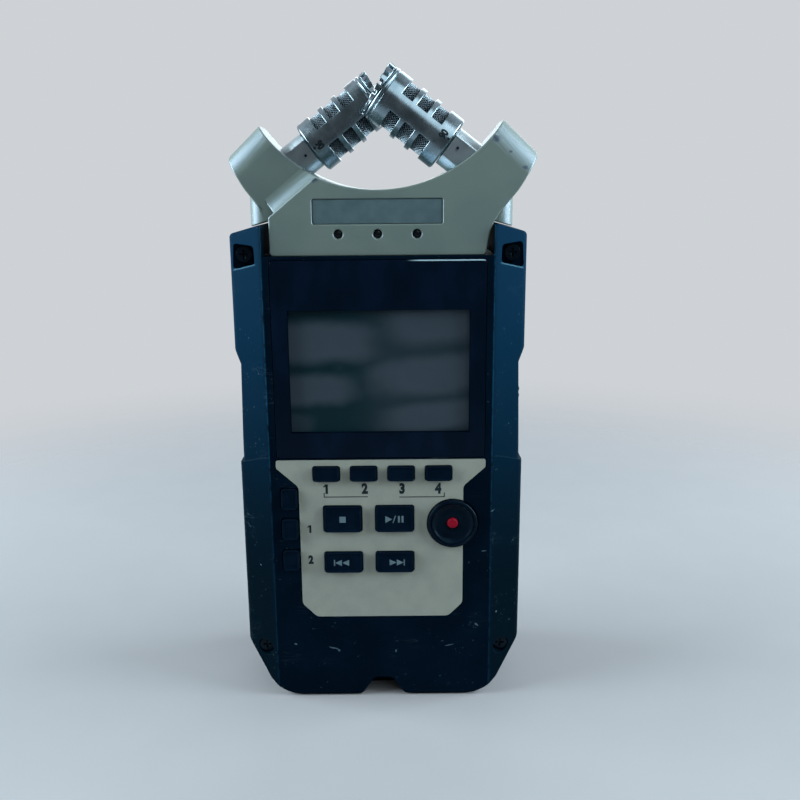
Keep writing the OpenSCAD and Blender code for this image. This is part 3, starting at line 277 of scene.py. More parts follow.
def makeSpeckled(name, colour, other, roughness, grain, depth, specular, metallic=0.0, sheen=(1, 1, 1, 1)):
    # speckled surface: two close tones, a fine grain and uneven gloss
    f = Finish(name, Specular_IOR_Level=specular, Metallic=metallic, Specular_Tint=sheen)
    p = f.place()
    cloud = f.noise(p, 0.22, 3.0)
    fine = f.noise(p, grain, 2.0)
    f.give({"Base Color": f.mix(tone(*colour), tone(*other), f.band(cloud + (fine - 0.5) * 0.25, 0.35, 0.68)),
            "Roughness": roughness + (cloud - 0.5) * 0.16,
            "Normal": f.bump(fine, depth, 0.6)})
    return f.material


def makeBrushed(name, colour, other, axis, roughness, metallic=1.0, lines=9.0):
    # turned or brushed metal: fine lines across the given axis
    f = Finish(name, Metallic=metallic)
    p = f.place()
    step = f.along(p, axis)
    line = f.noise(f.node("ShaderNodeCombineXYZ", None, {"X": step}), lines, 3.0, 0.7)
    cloud = f.noise(p, 0.3, 2.0)
    f.give({"Base Color": f.mix(tone(*colour), tone(*other), f.band(line * 0.5 + cloud * 0.5, 0.36, 0.64)),
            "Roughness": roughness + (line - 0.5) * 0.22 + (cloud - 0.5) * 0.12,
            "Normal": f.bump(line, 0.006, 0.5)})
    return f.material


# the clear part is given by its x and z limits
paneLook = {"tint": (3, 12, 24), "smear": (5, 17, 33), "clear": (-21.6, 21.6, 71.2, 101.0), "edge": 0.12,
            "clearness": 0.9, "corner": 0.8, "bevel": 0.2, "bevelFrom": 60,
            # painted highlight along the top edge: where it begins, height
            "marked": (150, 180, 192), "highlightAt": (8.0, 112.42)}


def makePane():
    # clear acrylic, printed dark behind all but the display
    f = Finish("windowAcrylic", Specular_IOR_Level=0.05)
    p = f.place()
    x, y, z = f.split(p)
    x0, x1, z0, z1 = paneLook["clear"]
    soft = paneLook["edge"]
    inside = (f.band(x, x0 - soft, x0 + soft) * f.band(x, x1 + soft, x1 - soft)
              * f.band(z, z0 - soft, z0 + soft) * f.band(z, z1 + soft, z1 - soft))
    smear = f.noise(f.turned(p, (1, 1, 0.5), (0, 35, 0)), 0.12, 3.0)
    # pale line along the top edge: a painted highlight
    highlightX, highlightZ = paneLook["highlightAt"]
    marked = f.band(x, highlightX - 1.5, highlightX + 2.0) * f.band(z, highlightZ - 0.08, highlightZ + 0.08)
    base = f.mix(tone(*paneLook["tint"]), tone(*paneLook["smear"]), f.band(smear, 0.4, 0.7))
    f.give({"Base Color": f.mix(base, tone(*paneLook["marked"]), marked * 0.85),
            "Roughness": 0.1 + f.band(smear, 0.5, 0.75) * 0.14,
            "Alpha": 1.0 - inside * paneLook["clearness"]})
    return f.material


displayLook = {"pale": (61, 72, 82), "dark": (13, 38, 44), "between": (36, 50, 57), "grid": (30, 42, 50),
               "y": -16.2, "deep": 30.0, "square": 3.4, "soft": 0.55,
               # pale patches: x, z, half width, half height, angle, strength
               "patches": [(-13.5, 93.2, 17.0, 6.5, 0, 1.0), (-16.6, 81.6, 14.3, 5.1, -3, 0.9),
                           (-21.0, 73.0, 6.5, 3.5, 0, 0.4), (13.8, 97.7, 15.3, 6.7, -5, 0.95),
                           (12.4, 85.0, 18.6, 6.1, -5, 1.0), (14.0, 74.8, 17.0, 4.9, -5, 0.95)]}


def makeDisplay():
    # unlit liquid crystal under a smeared surface
    f = Finish("displayFace", Specular_IOR_Level=0.1)
    p = f.place()
    x = f.split(p)[0]
    cloud = f.noise(p, 0.12, 2.0)
    pale = f.band(cloud, 0.55, 0.8) * 0.2
    for x0, z0, wide, high, angle, strength in displayLook["patches"]:
        patch = f.spot(p, (x0, displayLook["y"], z0), (wide, displayLook["deep"], high), angle,
                       displayLook["soft"], (cloud - 0.5) * 0.5, displayLook["square"])
        pale = pale.most(patch * strength)
    base = f.mix(tone(*displayLook["dark"]), tone(*displayLook["between"]), f.band(x, -9.0, 4.0))
    base = f.mix(base, tone(*displayLook["pale"]), pale * (0.85 + cloud * 0.2))
    grid = f.band(f.noise(p, 5.0, 0.0), 0.3, 0.7)
    f.give({"Base Color": f.mix(base, tone(*displayLook["grid"]), grid * 0.08),
            "Roughness": 0.34 + (cloud - 0.5) * 0.2})
    return f.material


# distances are from the cells' middle
cellLook = {"sleeve": (122, 112, 84), "end": (34, 36, 40), "steel": (150, 152, 150),
            "middle": 62.2, "endFrom": 13.8, "endTo": 14.2, "capFrom": 24.3, "capTo": 24.5}


def makeCells():
    # printed sleeve with a plain dark end, bare steel caps; the two cells lie head to tail
    f = Finish("cellSleeve")
    p = f.place()
    x, y, z = f.split(p)
    up = z - cellLook["middle"]
    rightEnd = f.band(up, cellLook["endFrom"], cellLook["endTo"]) * f.band(x, -0.1, 0.1)
    leftEnd = f.band(up, -cellLook["endFrom"], -cellLook["endTo"]) * f.band(x, 0.1, -0.1)
    bare = f.band(abs(up), cellLook["capFrom"], cellLook["capTo"])
    scuff = f.noise(p, 1.2, 3.0)
    colour = f.mix(tone(*cellLook["sleeve"]), tone(*cellLook["end"]), rightEnd + leftEnd)
    f.give({"Base Color": f.mix(colour, tone(*cellLook["steel"]), bare),
            "Metallic": bare * 0.8 + 0.2,
            "Roughness": 0.3 + scuff * 0.15})
    return f.material


clothLook = {"dark": (10, 11, 13), "pale": (44, 46, 50), "weave": 14.0}


def makeCloth():
    f = Finish("speakerCloth", Specular_IOR_Level=0.1)
    x, y, z = f.split(f.place())
    weave = (x * clothLook["weave"]).sine() * (z * clothLook["weave"]).sine()
    f.give({"Base Color": f.mix(tone(*clothLook["dark"]), tone(*clothLook["pale"]), f.band(weave, -0.4, 0.8)),
            "Roughness": 0.8 + weave * 0.1,
            "Normal": f.bump(weave, 0.05, 0.8)})
    return f.material


# right microphone's foot and lean; the left one is half a turn round from it
micLook = {"x": 16.6, "y": -7.5, "z": 138.7, "lean": -52.5, "turns": {"right": 0, "left": math.pi},
           "meshRadius": 5.8, "from": 2.6, "to": 19.5, "around": 48, "rows": 22, "wire": 0.24,
           "discSides": 24, "discCuts": 7, "barrel": [(112, 132, 142), (146, 164, 174)], "barrelRough": 0.24,
           "stem": [(166, 184, 192), (190, 206, 214)], "stemRough": 0.33,
           "liner": [(0, 3.0), (5.3, 3.0), (5.45, 3.3), (5.45, 18.7), (5.3, 19.0), (0, 19.0)]}


def micMatrix(side):
    turn = Matrix.Rotation(micLook["turns"][side], 4, "Z")
    move = Matrix.Translation((micLook["x"] * mm, micLook["y"] * mm, micLook["z"] * mm))
    return turn @ move @ Matrix.Rotation(math.radians(micLook["lean"]), 4, "Y")


# speckled finishes: name, two tones, roughness, grain, its depth, specular, metallic, sheen
speckled = {
    "pad": ("padPaint", (125, 131, 123), (120, 126, 119), 0.5, 3.0, 0.008, 0.2),
    "key": ("keyRubber", (3, 11, 23), (5, 15, 28), 0.56, 5.0, 0.02, 0.04, 0.0, caseLook["sheen"]),
    "record": ("recordGloss", (3, 9, 19), (5, 13, 24), 0.28, 2.0, 0.004, 0.08, 0.0, (0.3, 0.75, 1.0, 1)),
    "red": ("recordRed", (126, 6, 30), (112, 5, 26), 0.35, 3.0, 0.004, 0.1),
    "mesh": ("meshSteel", (108, 124, 134), (130, 146, 156), 0.5, 6.0, 0.004, 0.4, 0.6),
    "capsule": ("capsuleBrass", (96, 84, 52), (74, 66, 44), 0.35, 4.0, 0.006, 0.5, 0.9),
    "lamp": ("lampSmoke", (8, 14, 18), (12, 18, 22), 0.2, 3.0, 0.002, 0.2),
    "control": ("controlPlastic", (12, 20, 29), (17, 26, 35), 0.5, 5.0, 0.02, 0.12),
    "socket": ("socketPlastic", (9, 12, 16), (14, 17, 22), 0.48, 4.0, 0.015, 0.1),
    "tab": ("tabMetal", (62, 68, 74), (74, 80, 86), 0.42, 4.0, 0.01, 0.4, 0.5),
    "gold": ("goldContact", (176, 140, 70), (196, 160, 88), 0.28, 4.0, 0.004, 0.5, 1.0),
    "screw": ("screwBlack", (3, 10, 18), (6, 14, 23), 0.26, 5.0, 0.01, 0.16, 0.0, (0.5, 0.8, 1.0, 1)),
    "board": ("boardMask", (16, 74, 44), (12, 60, 36), 0.35, 1.5, 0.01, 0.4),
    "printPale": ("printPale", (86, 106, 114), (70, 90, 100), 0.5, 6.0, 0.004, 0.1),
    "printDark": ("printDark", (16, 26, 32), (24, 34, 40), 0.5, 6.0, 0.004, 0.1),
}
# brushed finishes: name, two tones, axis of the lines, roughness, metallic, fineness
brushed = {
    "name": ("namePlate", (70, 92, 99), (82, 104, 110), (0, 0, 1), 0.4, 0.4, 14.0),
    "steel": ("pressedSteel", (128, 134, 138), (158, 162, 166), (0, 0, 1), 0.32, 1.0, 6.0),
    "bush": ("bushNickel", (150, 142, 116), (176, 168, 140), (0, 1, 0), 0.3),
}
for side in micLook["turns"]:
    axis = tuple(micMatrix(side).to_3x3() @ Vector((0, 0, 1)))
    cased = side.capitalize()
    brushed["barrel" + cased] = ("turned" + cased, *micLook["barrel"], axis, micLook["barrelRough"])
    brushed["stem" + cased] = ("stemMetal" + cased, *micLook["stem"], axis, micLook["stemRough"])
finish = {"case": makeCase(), "mount": makeMount(), "window": makePane(), "display": makeDisplay(),
          "cells": makeCells(), "cloth": makeCloth()}
finish.update({key: makeSpeckled(*look) for key, look in speckled.items()})
finish.update({key: makeBrushed(*look) for key, look in brushed.items()})
print("finishes made:", len(finish))


def freed():
    # object mode with nothing selected
    if bpy.context.object and bpy.context.object.mode != "OBJECT":
        bpy.ops.object.mode_set(mode="OBJECT")
    bpy.ops.object.select_all(action="DESELECT")


def pick(obj):
    freed()
    obj.select_set(True)
    bpy.context.view_layer.objects.active = obj


def chosen(obj, kind, test):
    # edit mode with only the edges (by their ends) or faces that pass the test selected
    pick(obj)
    bpy.ops.object.mode_set(mode="EDIT")
    bpy.ops.mesh.select_mode(type=kind)
    bpy.ops.mesh.select_all(action="DESELECT")
    bpy.ops.object.mode_set(mode="OBJECT")
    if kind == "FACE":
        for face in obj.data.polygons:
            face.select = test(face)
    else:
        for edge in obj.data.edges:
            edge.select = test(*(obj.data.vertices[i].co for i in edge.vertices))
    bpy.ops.object.mode_set(mode="EDIT")


def everyFace(face):
    return True


def applied(obj, kind, **settings):
    pick(obj)
    modifier = obj.modifiers.new(kind.lower(), kind)
    for key, value in settings.items():
        setattr(modifier, key, value)
    bpy.ops.object.modifier_apply(modifier=modifier.name)


def settled(obj, name, matrix=None):
    # place goes into the mesh, and the object to the origin
    pick(obj)
    if matrix is not None:
        obj.matrix_world = matrix @ obj.matrix_world
        bpy.context.view_layer.update()
    bpy.ops.object.transform_apply(location=True, rotation=True, scale=True)
    obj.name = name
    obj.data.name = name
    return obj


def dressed(obj, finishName, body):
    obj.data.materials.clear()
    obj.data.materials.append(finish[finishName])
    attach(obj, body)
    return obj


def smoothed(obj, angle=38):
    pick(obj)
    bpy.ops.object.shade_smooth_by_angle(angle=math.radians(angle))


def joined(name, parts):
    pick(parts[0])
    for part in parts:
        part.select_set(True)
    bpy.ops.object.join()
    parts[0].name = name
    parts[0].data.name = name
    return parts[0]


# degrees: bevelled from, kept sharp from, faces joined below; mm: points merged, put back beyond
softLook = {"bevelFrom": 32, "sharpFrom": 60, "flatBelow": 0.4, "merge": 0.002, "stray": 0.24, "lead": 80}


def rounded(obj, width, segments=2, angle=softLook["bevelFrom"]):
    # bevelled edges, with the normals led by the large faces
    obj.data.shade_smooth()
    applied(obj, "BEVEL", width=width * mm, segments=segments, limit_method="ANGLE",
            angle_limit=math.radians(angle), use_clamp_overlap=False)
    smoothed(obj, softLook["sharpFrom"])
    applied(obj, "WEIGHTED_NORMAL", weight=softLook["lead"], keep_sharp=True)
    return obj


def softened(nodeName, finishName, width, cuts=()):
    # copy of a CAD node with its edges rounded; cuts run through holes, so that no flat face has a hole
    piece = bpy.data.objects.new(nodeName + "Soft", nodes[nodeName].data.copy())
    bpy.context.scene.collection.objects.link(piece)
    pick(piece)
    bpy.ops.object.mode_set(mode="EDIT")
    bpy.ops.mesh.select_mode(type="EDGE")
    bpy.ops.mesh.select_all(action="SELECT")
    bpy.ops.mesh.remove_doubles(threshold=softLook["merge"] * mm)
    for axis, place in cuts:
        bpy.ops.mesh.select_all(action="SELECT")
        way = Vector((axis == "X", axis == "Y", axis == "Z"))
        bpy.ops.mesh.bisect(plane_co=way * place * mm, plane_no=way, threshold=1e-7)
        bpy.ops.mesh.mark_seam()
    bpy.ops.mesh.select_all(action="SELECT")
    bpy.ops.mesh.dissolve_limited(angle_limit=math.radians(softLook["flatBelow"]), delimit={"SEAM"})
    bpy.ops.object.mode_set(mode="OBJECT")
    rounded(piece, width)
    # bevel corners that ran off the surface go back to it
    for v in piece.data.vertices:
        near = nodes[nodeName].closest_point_on_mesh(v.co)[1]
        if (near - v.co).length > softLook["stray"] * mm:
            v.co = near
    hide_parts(nodeName)
    return dressed(piece, finishName, bodyOf[nodeName])


def lathed(name, profile, matrix, steps=48, lining=False):
    # profile of (radius, height) in mm, spun about the local Z axis; a lining faces inwards
    freed()
    bpy.ops.mesh.primitive_plane_add(size=mm)
    obj = bpy.context.object
    bpy.ops.object.mode_set(mode="EDIT")
    bpy.ops.mesh.select_mode(type="VERT")
    bpy.ops.mesh.select_all(action="SELECT")
    bpy.ops.mesh.merge(type="CENTER")
    points = [Vector((r * mm, 0, h * mm)) for r, h in profile]
    bpy.ops.transform.translate(value=points[0])
    for a, b in zip(points, points[1:]):
        bpy.ops.mesh.extrude_vertices_move(TRANSFORM_OT_translate={"value": b - a})
    bpy.ops.mesh.select_all(action="SELECT")
    bpy.ops.mesh.spin(steps=steps, angle=math.tau, center=(0, 0, 0), axis=(0, 0, 1))
    bpy.ops.mesh.select_all(action="SELECT")
    bpy.ops.mesh.remove_doubles(threshold=1e-7)
    bpy.ops.mesh.normals_make_consistent(inside=False)
    if lining:
        bpy.ops.mesh.flip_normals()
    settled(obj, name, matrix)
    smoothed(obj)
    return obj


def block(name, low, high, bevel, segments=3):
    # box between two corners in mm, with rounded edges
    freed()
    middle = [(a + b) / 2 * mm for a, b in zip(low, high)]
    bpy.ops.mesh.primitive_cube_add(size=1, location=middle)
    obj = bpy.context.object
    obj.scale = [(b - a) * mm for a, b in zip(low, high)]
    settled(obj, name)
    return rounded(obj, bevel, segments) if bevel else obj


def copies(obj, moves):
    # the piece, and again at each move in mm, each with its own mesh
    made = [obj]
    for move in moves:
        again = obj.copy()
        again.data = obj.data.copy()
        bpy.context.scene.collection.objects.link(again)
        again.data.transform(Matrix.Translation(Vector(move) * mm))
        made.append(again)
    return made


def coiled(profile, pitch, turns, closed=False, steps=32):
    # profile of (radius, height) in mm, screwed about the local Z axis
    freed()
    bpy.ops.mesh.primitive_circle_add(vertices=len(profile), radius=mm)
    obj = bpy.context.object
    for v, (r, h) in zip(obj.data.vertices, profile):
        v.co = (r * mm, 0, h * mm)
    if not closed:
        ends = (profile[0], profile[-1])

        def atEnd(v):
            return any(abs(v.x / mm - r) + abs(v.z / mm - h) < 1e-4 for r, h in ends)

        chosen(obj, "EDGE", lambda a, b: atEnd(a) and atEnd(b))
        bpy.ops.mesh.delete(type="EDGE")
        bpy.ops.object.mode_set(mode="OBJECT")
    applied(obj, "SCREW", screw_offset=pitch * mm, iterations=turns, steps=steps, render_steps=steps,
            use_merge_vertices=True, merge_threshold=1e-6)
    chosen(obj, "FACE", everyFace)
    bpy.ops.mesh.normals_make_consistent(inside=False)
    bpy.ops.object.mode_set(mode="OBJECT")
    return obj


def facing(x, y, z, direction):
    # matrix that moves to a place in mm and turns local Z along one of the part's axes
    turns = {"-X": ("Y", -90), "+X": ("Y", 90), "-Y": ("X", 90), "+Y": ("X", -90),
             "-Z": ("X", 180), "+Z": ("X", 0)}
    axis, angle = turns[direction]
    return Matrix.Translation((x * mm, y * mm, z * mm)) @ Matrix.Rotation(math.radians(angle), 4, axis)


def sign(name, shapes, matrix, depth):
    # printed mark, a little thick: bars (x, z, w, h, slant) and triangles (x, z, w, h, way)
    triangleSide = 2 / math.sqrt(3)  # of a triangle that is 1 high
    parts = []
    for kind, x, z, w, h, lean in shapes:
        freed()
        if kind == "bar":
            bpy.ops.mesh.primitive_plane_add(size=1, location=(x * mm, z * mm, 0))
            bpy.context.object.scale = (w * mm, h * mm, 1)
        else:
            bpy.ops.mesh.primitive_circle_add(vertices=3, radius=2 / 3, fill_type="NGON",
                                              location=(x * mm, z * mm, 0),
                                              rotation=(0, 0, -lean * math.pi / 2))
            bpy.context.object.scale = (h * mm / triangleSide, w * mm, 1)
        part = settled(bpy.context.object, name)
        chosen(part, "FACE", everyFace)
        bpy.ops.mesh.extrude_region_move(TRANSFORM_OT_translate={"value": (0, 0, depth * mm)})
        bpy.ops.mesh.select_all(action="SELECT")
        bpy.ops.mesh.normals_make_consistent(inside=False)
        bpy.ops.object.mode_set(mode="OBJECT")
        if kind == "bar":
            for v in part.data.vertices:
                v.co.x += (v.co.y - z * mm) * lean
        parts.append(part)
    return settled(joined(name, parts), name, matrix)


numberLook = {"bold": 0.06, "narrow": 0.8, "curve": 4}


def figure(name, body, size, matrix, depth):
    # a number, made a mesh before it is placed
    freed()
    bpy.ops.object.text_add()
    obj = bpy.context.object
    obj.data.body = body
    obj.data.size = size * mm
    obj.data.align_x = "CENTER"
    obj.data.align_y = "CENTER"
    obj.data.extrude = depth * mm
    obj.data.offset = numberLook["bold"] * size * mm
    obj.scale.x = numberLook["narrow"]
    obj.data.resolution_u = numberLook["curve"]
    bpy.ops.object.convert(target="MESH")
    return settled(bpy.context.object, name, matrix)


# pieces whose edges are rounded: finish, width
softEdges = {
    "front_shell": ("case", 0.14), "rear_shell": ("case", 0.2), "battery_cover": ("case", 0.3),
    "card_door": ("case", 0.2), "end_panel": ("case", 0.2),
    "mount_front": ("mount", 0.35), "mount_rear": ("mount", 0.35), "name_plate": ("name", 0.12),
    "mic_barrel_right": ("barrelRight", 0.12), "mic_barrel_left": ("barrelLeft", 0.12),
    "mic_crown_right": ("barrelRight", 0.12), "mic_crown_left": ("barrelLeft", 0.12),
    "mic_stem_right": ("stemRight", 0.15), "mic_stem_left": ("stemLeft", 0.15),
    "level_rocker": ("control", 0.3), "volume_rocker": ("control", 0.3), "jog_dial": ("control", 0.12),
    "menu_button": ("control", 0.25), "power_switch": ("control", 0.25),
    "combo_jack_right": ("socket", 0.15), "combo_jack_left": ("socket", 0.15),
    "jack_tab_right": ("tab", 0.2), "jack_tab_left": ("tab", 0.2), "usb_socket": ("steel", 0.1),
    "headphone_jack": ("socket", 0.15), "dc_socket": ("socket", 0.15), "remote_socket": ("socket", 0.15),
    "ext_mic_jack": ("socket", 0.15), "tripod_bush": ("bush", 0.2), "case_screws": ("screw", 0.06),
    "battery_tray": ("socket", 0.2), "aa_cells": ("cells", 0.3), "battery_contacts": ("steel", 0.1),
}


def cutsThrough(axis, *nodeNames):
    # one cut across the middle of each node
    cuts = []
    for nodeName in nodeNames:
        low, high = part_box(nodeName)
        cuts.append((axis, (low + high)["XYZ".index(axis)] / 2 / mm))
    return cuts


screwZ = (12.9, 117.7)  # lower and upper case screws
lampX = (-9.15, 0, 9.15)
cutsOf = {
    "front_shell": cutsThrough("Z", "level_rocker", "jog_dial", "menu_button", "headphone_jack",
                               "power_switch", "usb_socket", "dc_socket", "remote_socket", "card_door",
                               "input_key_top", "input_key_middle", "input_key_bottom", "record_button")
                   + [("Z", z) for z in screwZ] + [("X", 0)],
    "rear_shell": cutsThrough("X", "tripod_bush", "ext_mic_jack", "speaker") + [("X", 0)],
    "mount_front": [("X", x) for x in lampX] + [("Y", micLook["y"])],
    "mount_rear": [("X", 0), ("Y", -micLook["y"])],
    "end_panel": cutsThrough("X", "combo_jack_right", "combo_jack_left", "jack_tab_right", "jack_tab_left"),
}
for nodeName, (finishName, width) in softEdges.items():
    softened(nodeName, finishName, width, cutsOf.get(nodeName, ()))
print("rounded pieces:", len(softEdges))

# nodes whose CAD shape is shown as it is
plainNodes = {"lcd_panel": "display", "main_board": "board", "key_switches": "steel",
              "dial_carriage": "steel", "card_socket": "steel", "speaker": "cloth", "keypad_plate": "pad",
              "mic_capsule_right": "capsule", "mic_capsule_left": "capsule"}
for nodeName, finishName in plainNodes.items():
    nodes[nodeName].data.materials.clear()
    nodes[nodeName].data.materials.append(finish[finishName])

# window pane with rounded corners
low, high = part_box("display_window")
pane = block("windowPane", low / mm, high / mm, 0)
chosen(pane, "EDGE", lambda a, b: abs(a.y - b.y) > 0.5 * mm)
bpy.ops.mesh.bevel(offset=paneLook["corner"] * mm, segments=6, affect="EDGES")
bpy.ops.object.mode_set(mode="OBJECT")
rounded(pane, paneLook["bevel"], 3, paneLook["bevelFrom"])
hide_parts("display_window")
dressed(pane, "window", "case")
print("window done")

keyLook = {"corner": 0.7, "rim": 0.5, "dish": 0.25, "edge": 0.14, "edgeFrom": 16, "flange": 0.8, "deep": 3.4}


def keyCap(nodeName):
    # cap with rounded corners and a dished top
    low, high = (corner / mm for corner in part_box(nodeName))
    inset = Vector((keyLook["flange"], 0, keyLook["flange"]))
    low, high = low + inset, high - inset
    high.y = low.y + keyLook["deep"]
    cap = block(nodeName + "Cap", low, high, 0)
    chosen(cap, "EDGE", lambda a, b: abs(a.y - b.y) > 1 * mm)
    bpy.ops.mesh.bevel(offset=keyLook["corner"] * mm, segments=5, affect="EDGES")
    chosen(cap, "FACE", lambda face: face.normal.y < -0.9)
    bpy.ops.mesh.inset(thickness=keyLook["rim"] * mm)
    bpy.ops.transform.translate(value=(0, keyLook["dish"] * mm, 0))
    bpy.ops.object.mode_set(mode="OBJECT")
    cap.data.shade_smooth()
    applied(cap, "BEVEL", width=keyLook["edge"] * mm, segments=3, limit_method="ANGLE",
            angle_limit=math.radians(keyLook["edgeFrom"]), use_clamp_overlap=True)
    applied(cap, "WEIGHTED_NORMAL", weight=softLook["lead"], keep_sharp=False)
    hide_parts(nodeName)
    return dressed(cap, "key", bodyOf[nodeName])


keyNames = [n for n in nodes if slotOf[n] == "key"]
for nodeName in keyNames:
    keyCap(nodeName)
print("keys:", len(keyNames))

# record button: dished face inside a raised ring, with its red dot
recordLook = {"place": (17.7, -18.5, 47.7),
              "face": [(0, -1.75), (1.4, -1.7), (1.42, -1.12), (1.7, -1.02), (2.8, -1.0), (3.7, -0.92),
                       (4.3, -0.72), (4.7, -0.42), (4.95, -0.2), (5.15, -0.12), (5.25, -0.2), (5.3, -0.32),
                       (5.36, -0.18), (5.46, -0.04), (5.7, 0.0), (5.98, -0.05), (6.14, -0.2), (6.2, -0.45),
                       (6.2, -3.0), (0, -3.0)],
              "lens": [(0, -0.5), (0.6, -0.53), (1.0, -0.62), (1.28, -0.8), (1.35, -1.0), (1.35, -1.69),
                       (0, -1.69)]}
recordAt = facing(*recordLook["place"], "-Y")
button = lathed("recordFace", recordLook["face"], recordAt, 96)
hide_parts("record_button")
dressed(button, "record", "record")
dot = lathed("recordLens", recordLook["lens"], recordAt)
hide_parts("record_dot")
dressed(dot, "red", "record")
print("record button done")

# pale signs on the keys; a triangle's last value is 1 to the right and -1 to the left
signs = {
    "stop_key": [("bar", 0, 0, 1.55, 1.55, 0)],
    "play_key": [("tri", -1.75, 0, 1.7, 1.8, 1), ("bar", -0.1, 0, 0.26, 1.9, 0.35),
                 ("bar", 1.05, 0, 0.5, 1.7, 0), ("bar", 1.95, 0, 0.5, 1.7, 0)],
    "rewind_key": [("bar", -2.3, 0, 0.3, 1.6, 0), ("tri", -1.0, 0, 1.7, 1.6, -1),
                   ("tri", 0.8, 0, 1.7, 1.6, -1)],
    "forward_key": [("bar", 2.3, 0, 0.3, 1.6, 0), ("tri", 1.0, 0, 1.7, 1.6, 1),
                    ("tri", -0.8, 0, 1.7, 1.6, 1)],
}
# how deep a print starts below its surface, and how thick it is
printLook = {"sunk": 0.02, "onKey": 0.05, "onPad": 0.04, "number": 0.02}
for nodeName, shapes in signs.items():
    low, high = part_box(nodeName)
    centre = (low + high) / (2 * mm)
    at = facing(centre.x, low.y / mm + keyLook["dish"] + printLook["sunk"], centre.z, "-Y")
    dressed(sign(nodeName + "Sign", shapes, at, printLook["onKey"]), "printPale", bodyOf[nodeName])


def numberOne(size):
    # upright and flag, as bars
    return [("bar", 0.03 * size, 0, 0.17 * size, 0.7 * size, 0),
            ("bar", -0.1 * size, 0.24 * size, 0.13 * size, 0.2 * size, 0.85)]


# numbers (x, z, size) and bracket lines printed on the keypad plate
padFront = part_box("keypad_plate")[0].y / mm
padNumbers = [("1", -13.5, 56.85, 3.5), ("2", -4.0, 56.8, 3.5), ("3", 5.2, 56.75, 3.5),
              ("4", 14.1, 56.7, 3.5), ("1", -17.85, 46.4, 2.9), ("2", -17.85, 38.1, 2.9)]
for i, (body, x, z, size) in enumerate(padNumbers):
    name = "padNumber%d" % (i + 1)
    if body == "1":
        at = facing(x, padFront + printLook["sunk"], z, "-Y")
        mark = sign(name, numberOne(size), at, printLook["onPad"])
    else:
        mark = figure(name, body, size, facing(x, padFront, z, "-Y"), printLook["number"])
    dressed(mark, "printDark", "case")
bracket = [("bar", -8.7, 54.8, 10.9, 0.22, 0), ("bar", -14.05, 55.3, 0.22, 1.2, 0),
           ("bar", 10.1, 54.65, 11.2, 0.22, 0), ("bar", 15.6, 55.15, 0.22, 1.2, 0)]
bracketAt = facing(0, padFront + printLook["sunk"], 0, "-Y")
dressed(sign("padBracket", bracket, bracketAt, printLook["onPad"]), "printDark", "case")
print("prints done")


def micMesh(side, name):
    # diagonal wire lattice rolled into a tube, with a lattice disc at its end
    radius = micLook["meshRadius"] * mm
    foot, end = micLook["from"] * mm, micLook["to"] * mm
    freed()
    bpy.ops.mesh.primitive_grid_add(x_subdivisions=micLook["around"], y_subdivisions=micLook["rows"], size=1)
    tube = bpy.context.object
    chosen(tube, "FACE", everyFace)
    bpy.ops.mesh.poke()
    # the grid's own edges go, so that the diagonals stay
    chosen(tube, "EDGE", lambda a, b: (abs(a.x - b.x) < 1e-6 or abs(a.y - b.y) < 1e-6)
           and abs(a.x + b.x) < 0.999 and abs(a.y + b.y) < 0.999)
    bpy.ops.mesh.dissolve_edges(use_verts=False)
    bpy.ops.object.mode_set(mode="OBJECT")
    for v in tube.data.vertices:
        angle = v.co.x * math.tau
        v.co = (radius * math.cos(angle), radius * math.sin(angle), (v.co.y + 0.5) * (end - foot) + foot)
    chosen(tube, "FACE", everyFace)
    bpy.ops.mesh.remove_doubles(threshold=1e-6)
    bpy.ops.mesh.normals_make_consistent(inside=False)
    freed()
    bpy.ops.mesh.primitive_circle_add(vertices=micLook["discSides"], radius=radius, fill_type="TRIFAN",
                                      location=(0, 0, end))
    disc = bpy.context.object
    chosen(disc, "FACE", everyFace)
    bpy.ops.mesh.subdivide(number_cuts=micLook["discCuts"])
    settled(disc, "disc")
    whole = joined(name, [tube, disc])
    applied(whole, "WIREFRAME", thickness=micLook["wire"] * mm, use_even_offset=False, use_boundary=True)
    return settled(whole, name, micMatrix(side))


def wrapped(obj, radius):
    # bends a flat mark round the front of a barrel or stem
    for v in obj.data.vertices:
        x, y, z = v.co
        angle, reach = x / (radius * mm), radius * mm + z
        v.co = (reach * math.sin(angle), -reach * math.cos(angle), y)
    return obj


# angle mark (body, size) and index dots, each with x round the barrel, height and radius of the surface
micMarks = {"angle": ("90", 2.4), "angleAt": (0.9, 2.2, 6.71), "thick": 0.02,
            "dotsAt": [(0.7, 0.75, 6.71), (0.55, -2.2, 4.92)],
            "dot": [(0, 0.03), (0.34, 0.03), (0.34, -0.05), (0, -0.05)]}
for side, turn in micLook["turns"].items():
    cased = side.capitalize()
    lattice = micMesh(side, "micLattice" + cased)
    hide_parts("mic_mesh_" + side)
    dressed(lattice, "mesh", "mic_" + side)
    # dark liner behind the lattice
    liner = lathed("micLiner" + cased, micLook["liner"], micMatrix(side))
    dressed(liner, "socket", "mic_" + side)
    x, height, radius = micMarks["angleAt"]
    angleMark = figure("angleMark", *micMarks["angle"], Matrix.Translation((x * mm, height * mm, 0)),
                       micMarks["thick"])
    marks = [wrapped(angleMark, radius)]
    for x, height, radius in micMarks["dotsAt"]:
        indexDot = lathed("indexDot", micMarks["dot"], Matrix.Translation((x * mm, height * mm, 0)), 16)
        marks.append(wrapped(indexDot, radius))
    front = micMatrix(side) @ Matrix.Rotation(turn, 4, "Z")
    mark = settled(joined("micMarks" + cased, marks), "micMarks" + cased, front)
    dressed(mark, "printDark", "mic_" + side)
print("microphones done")

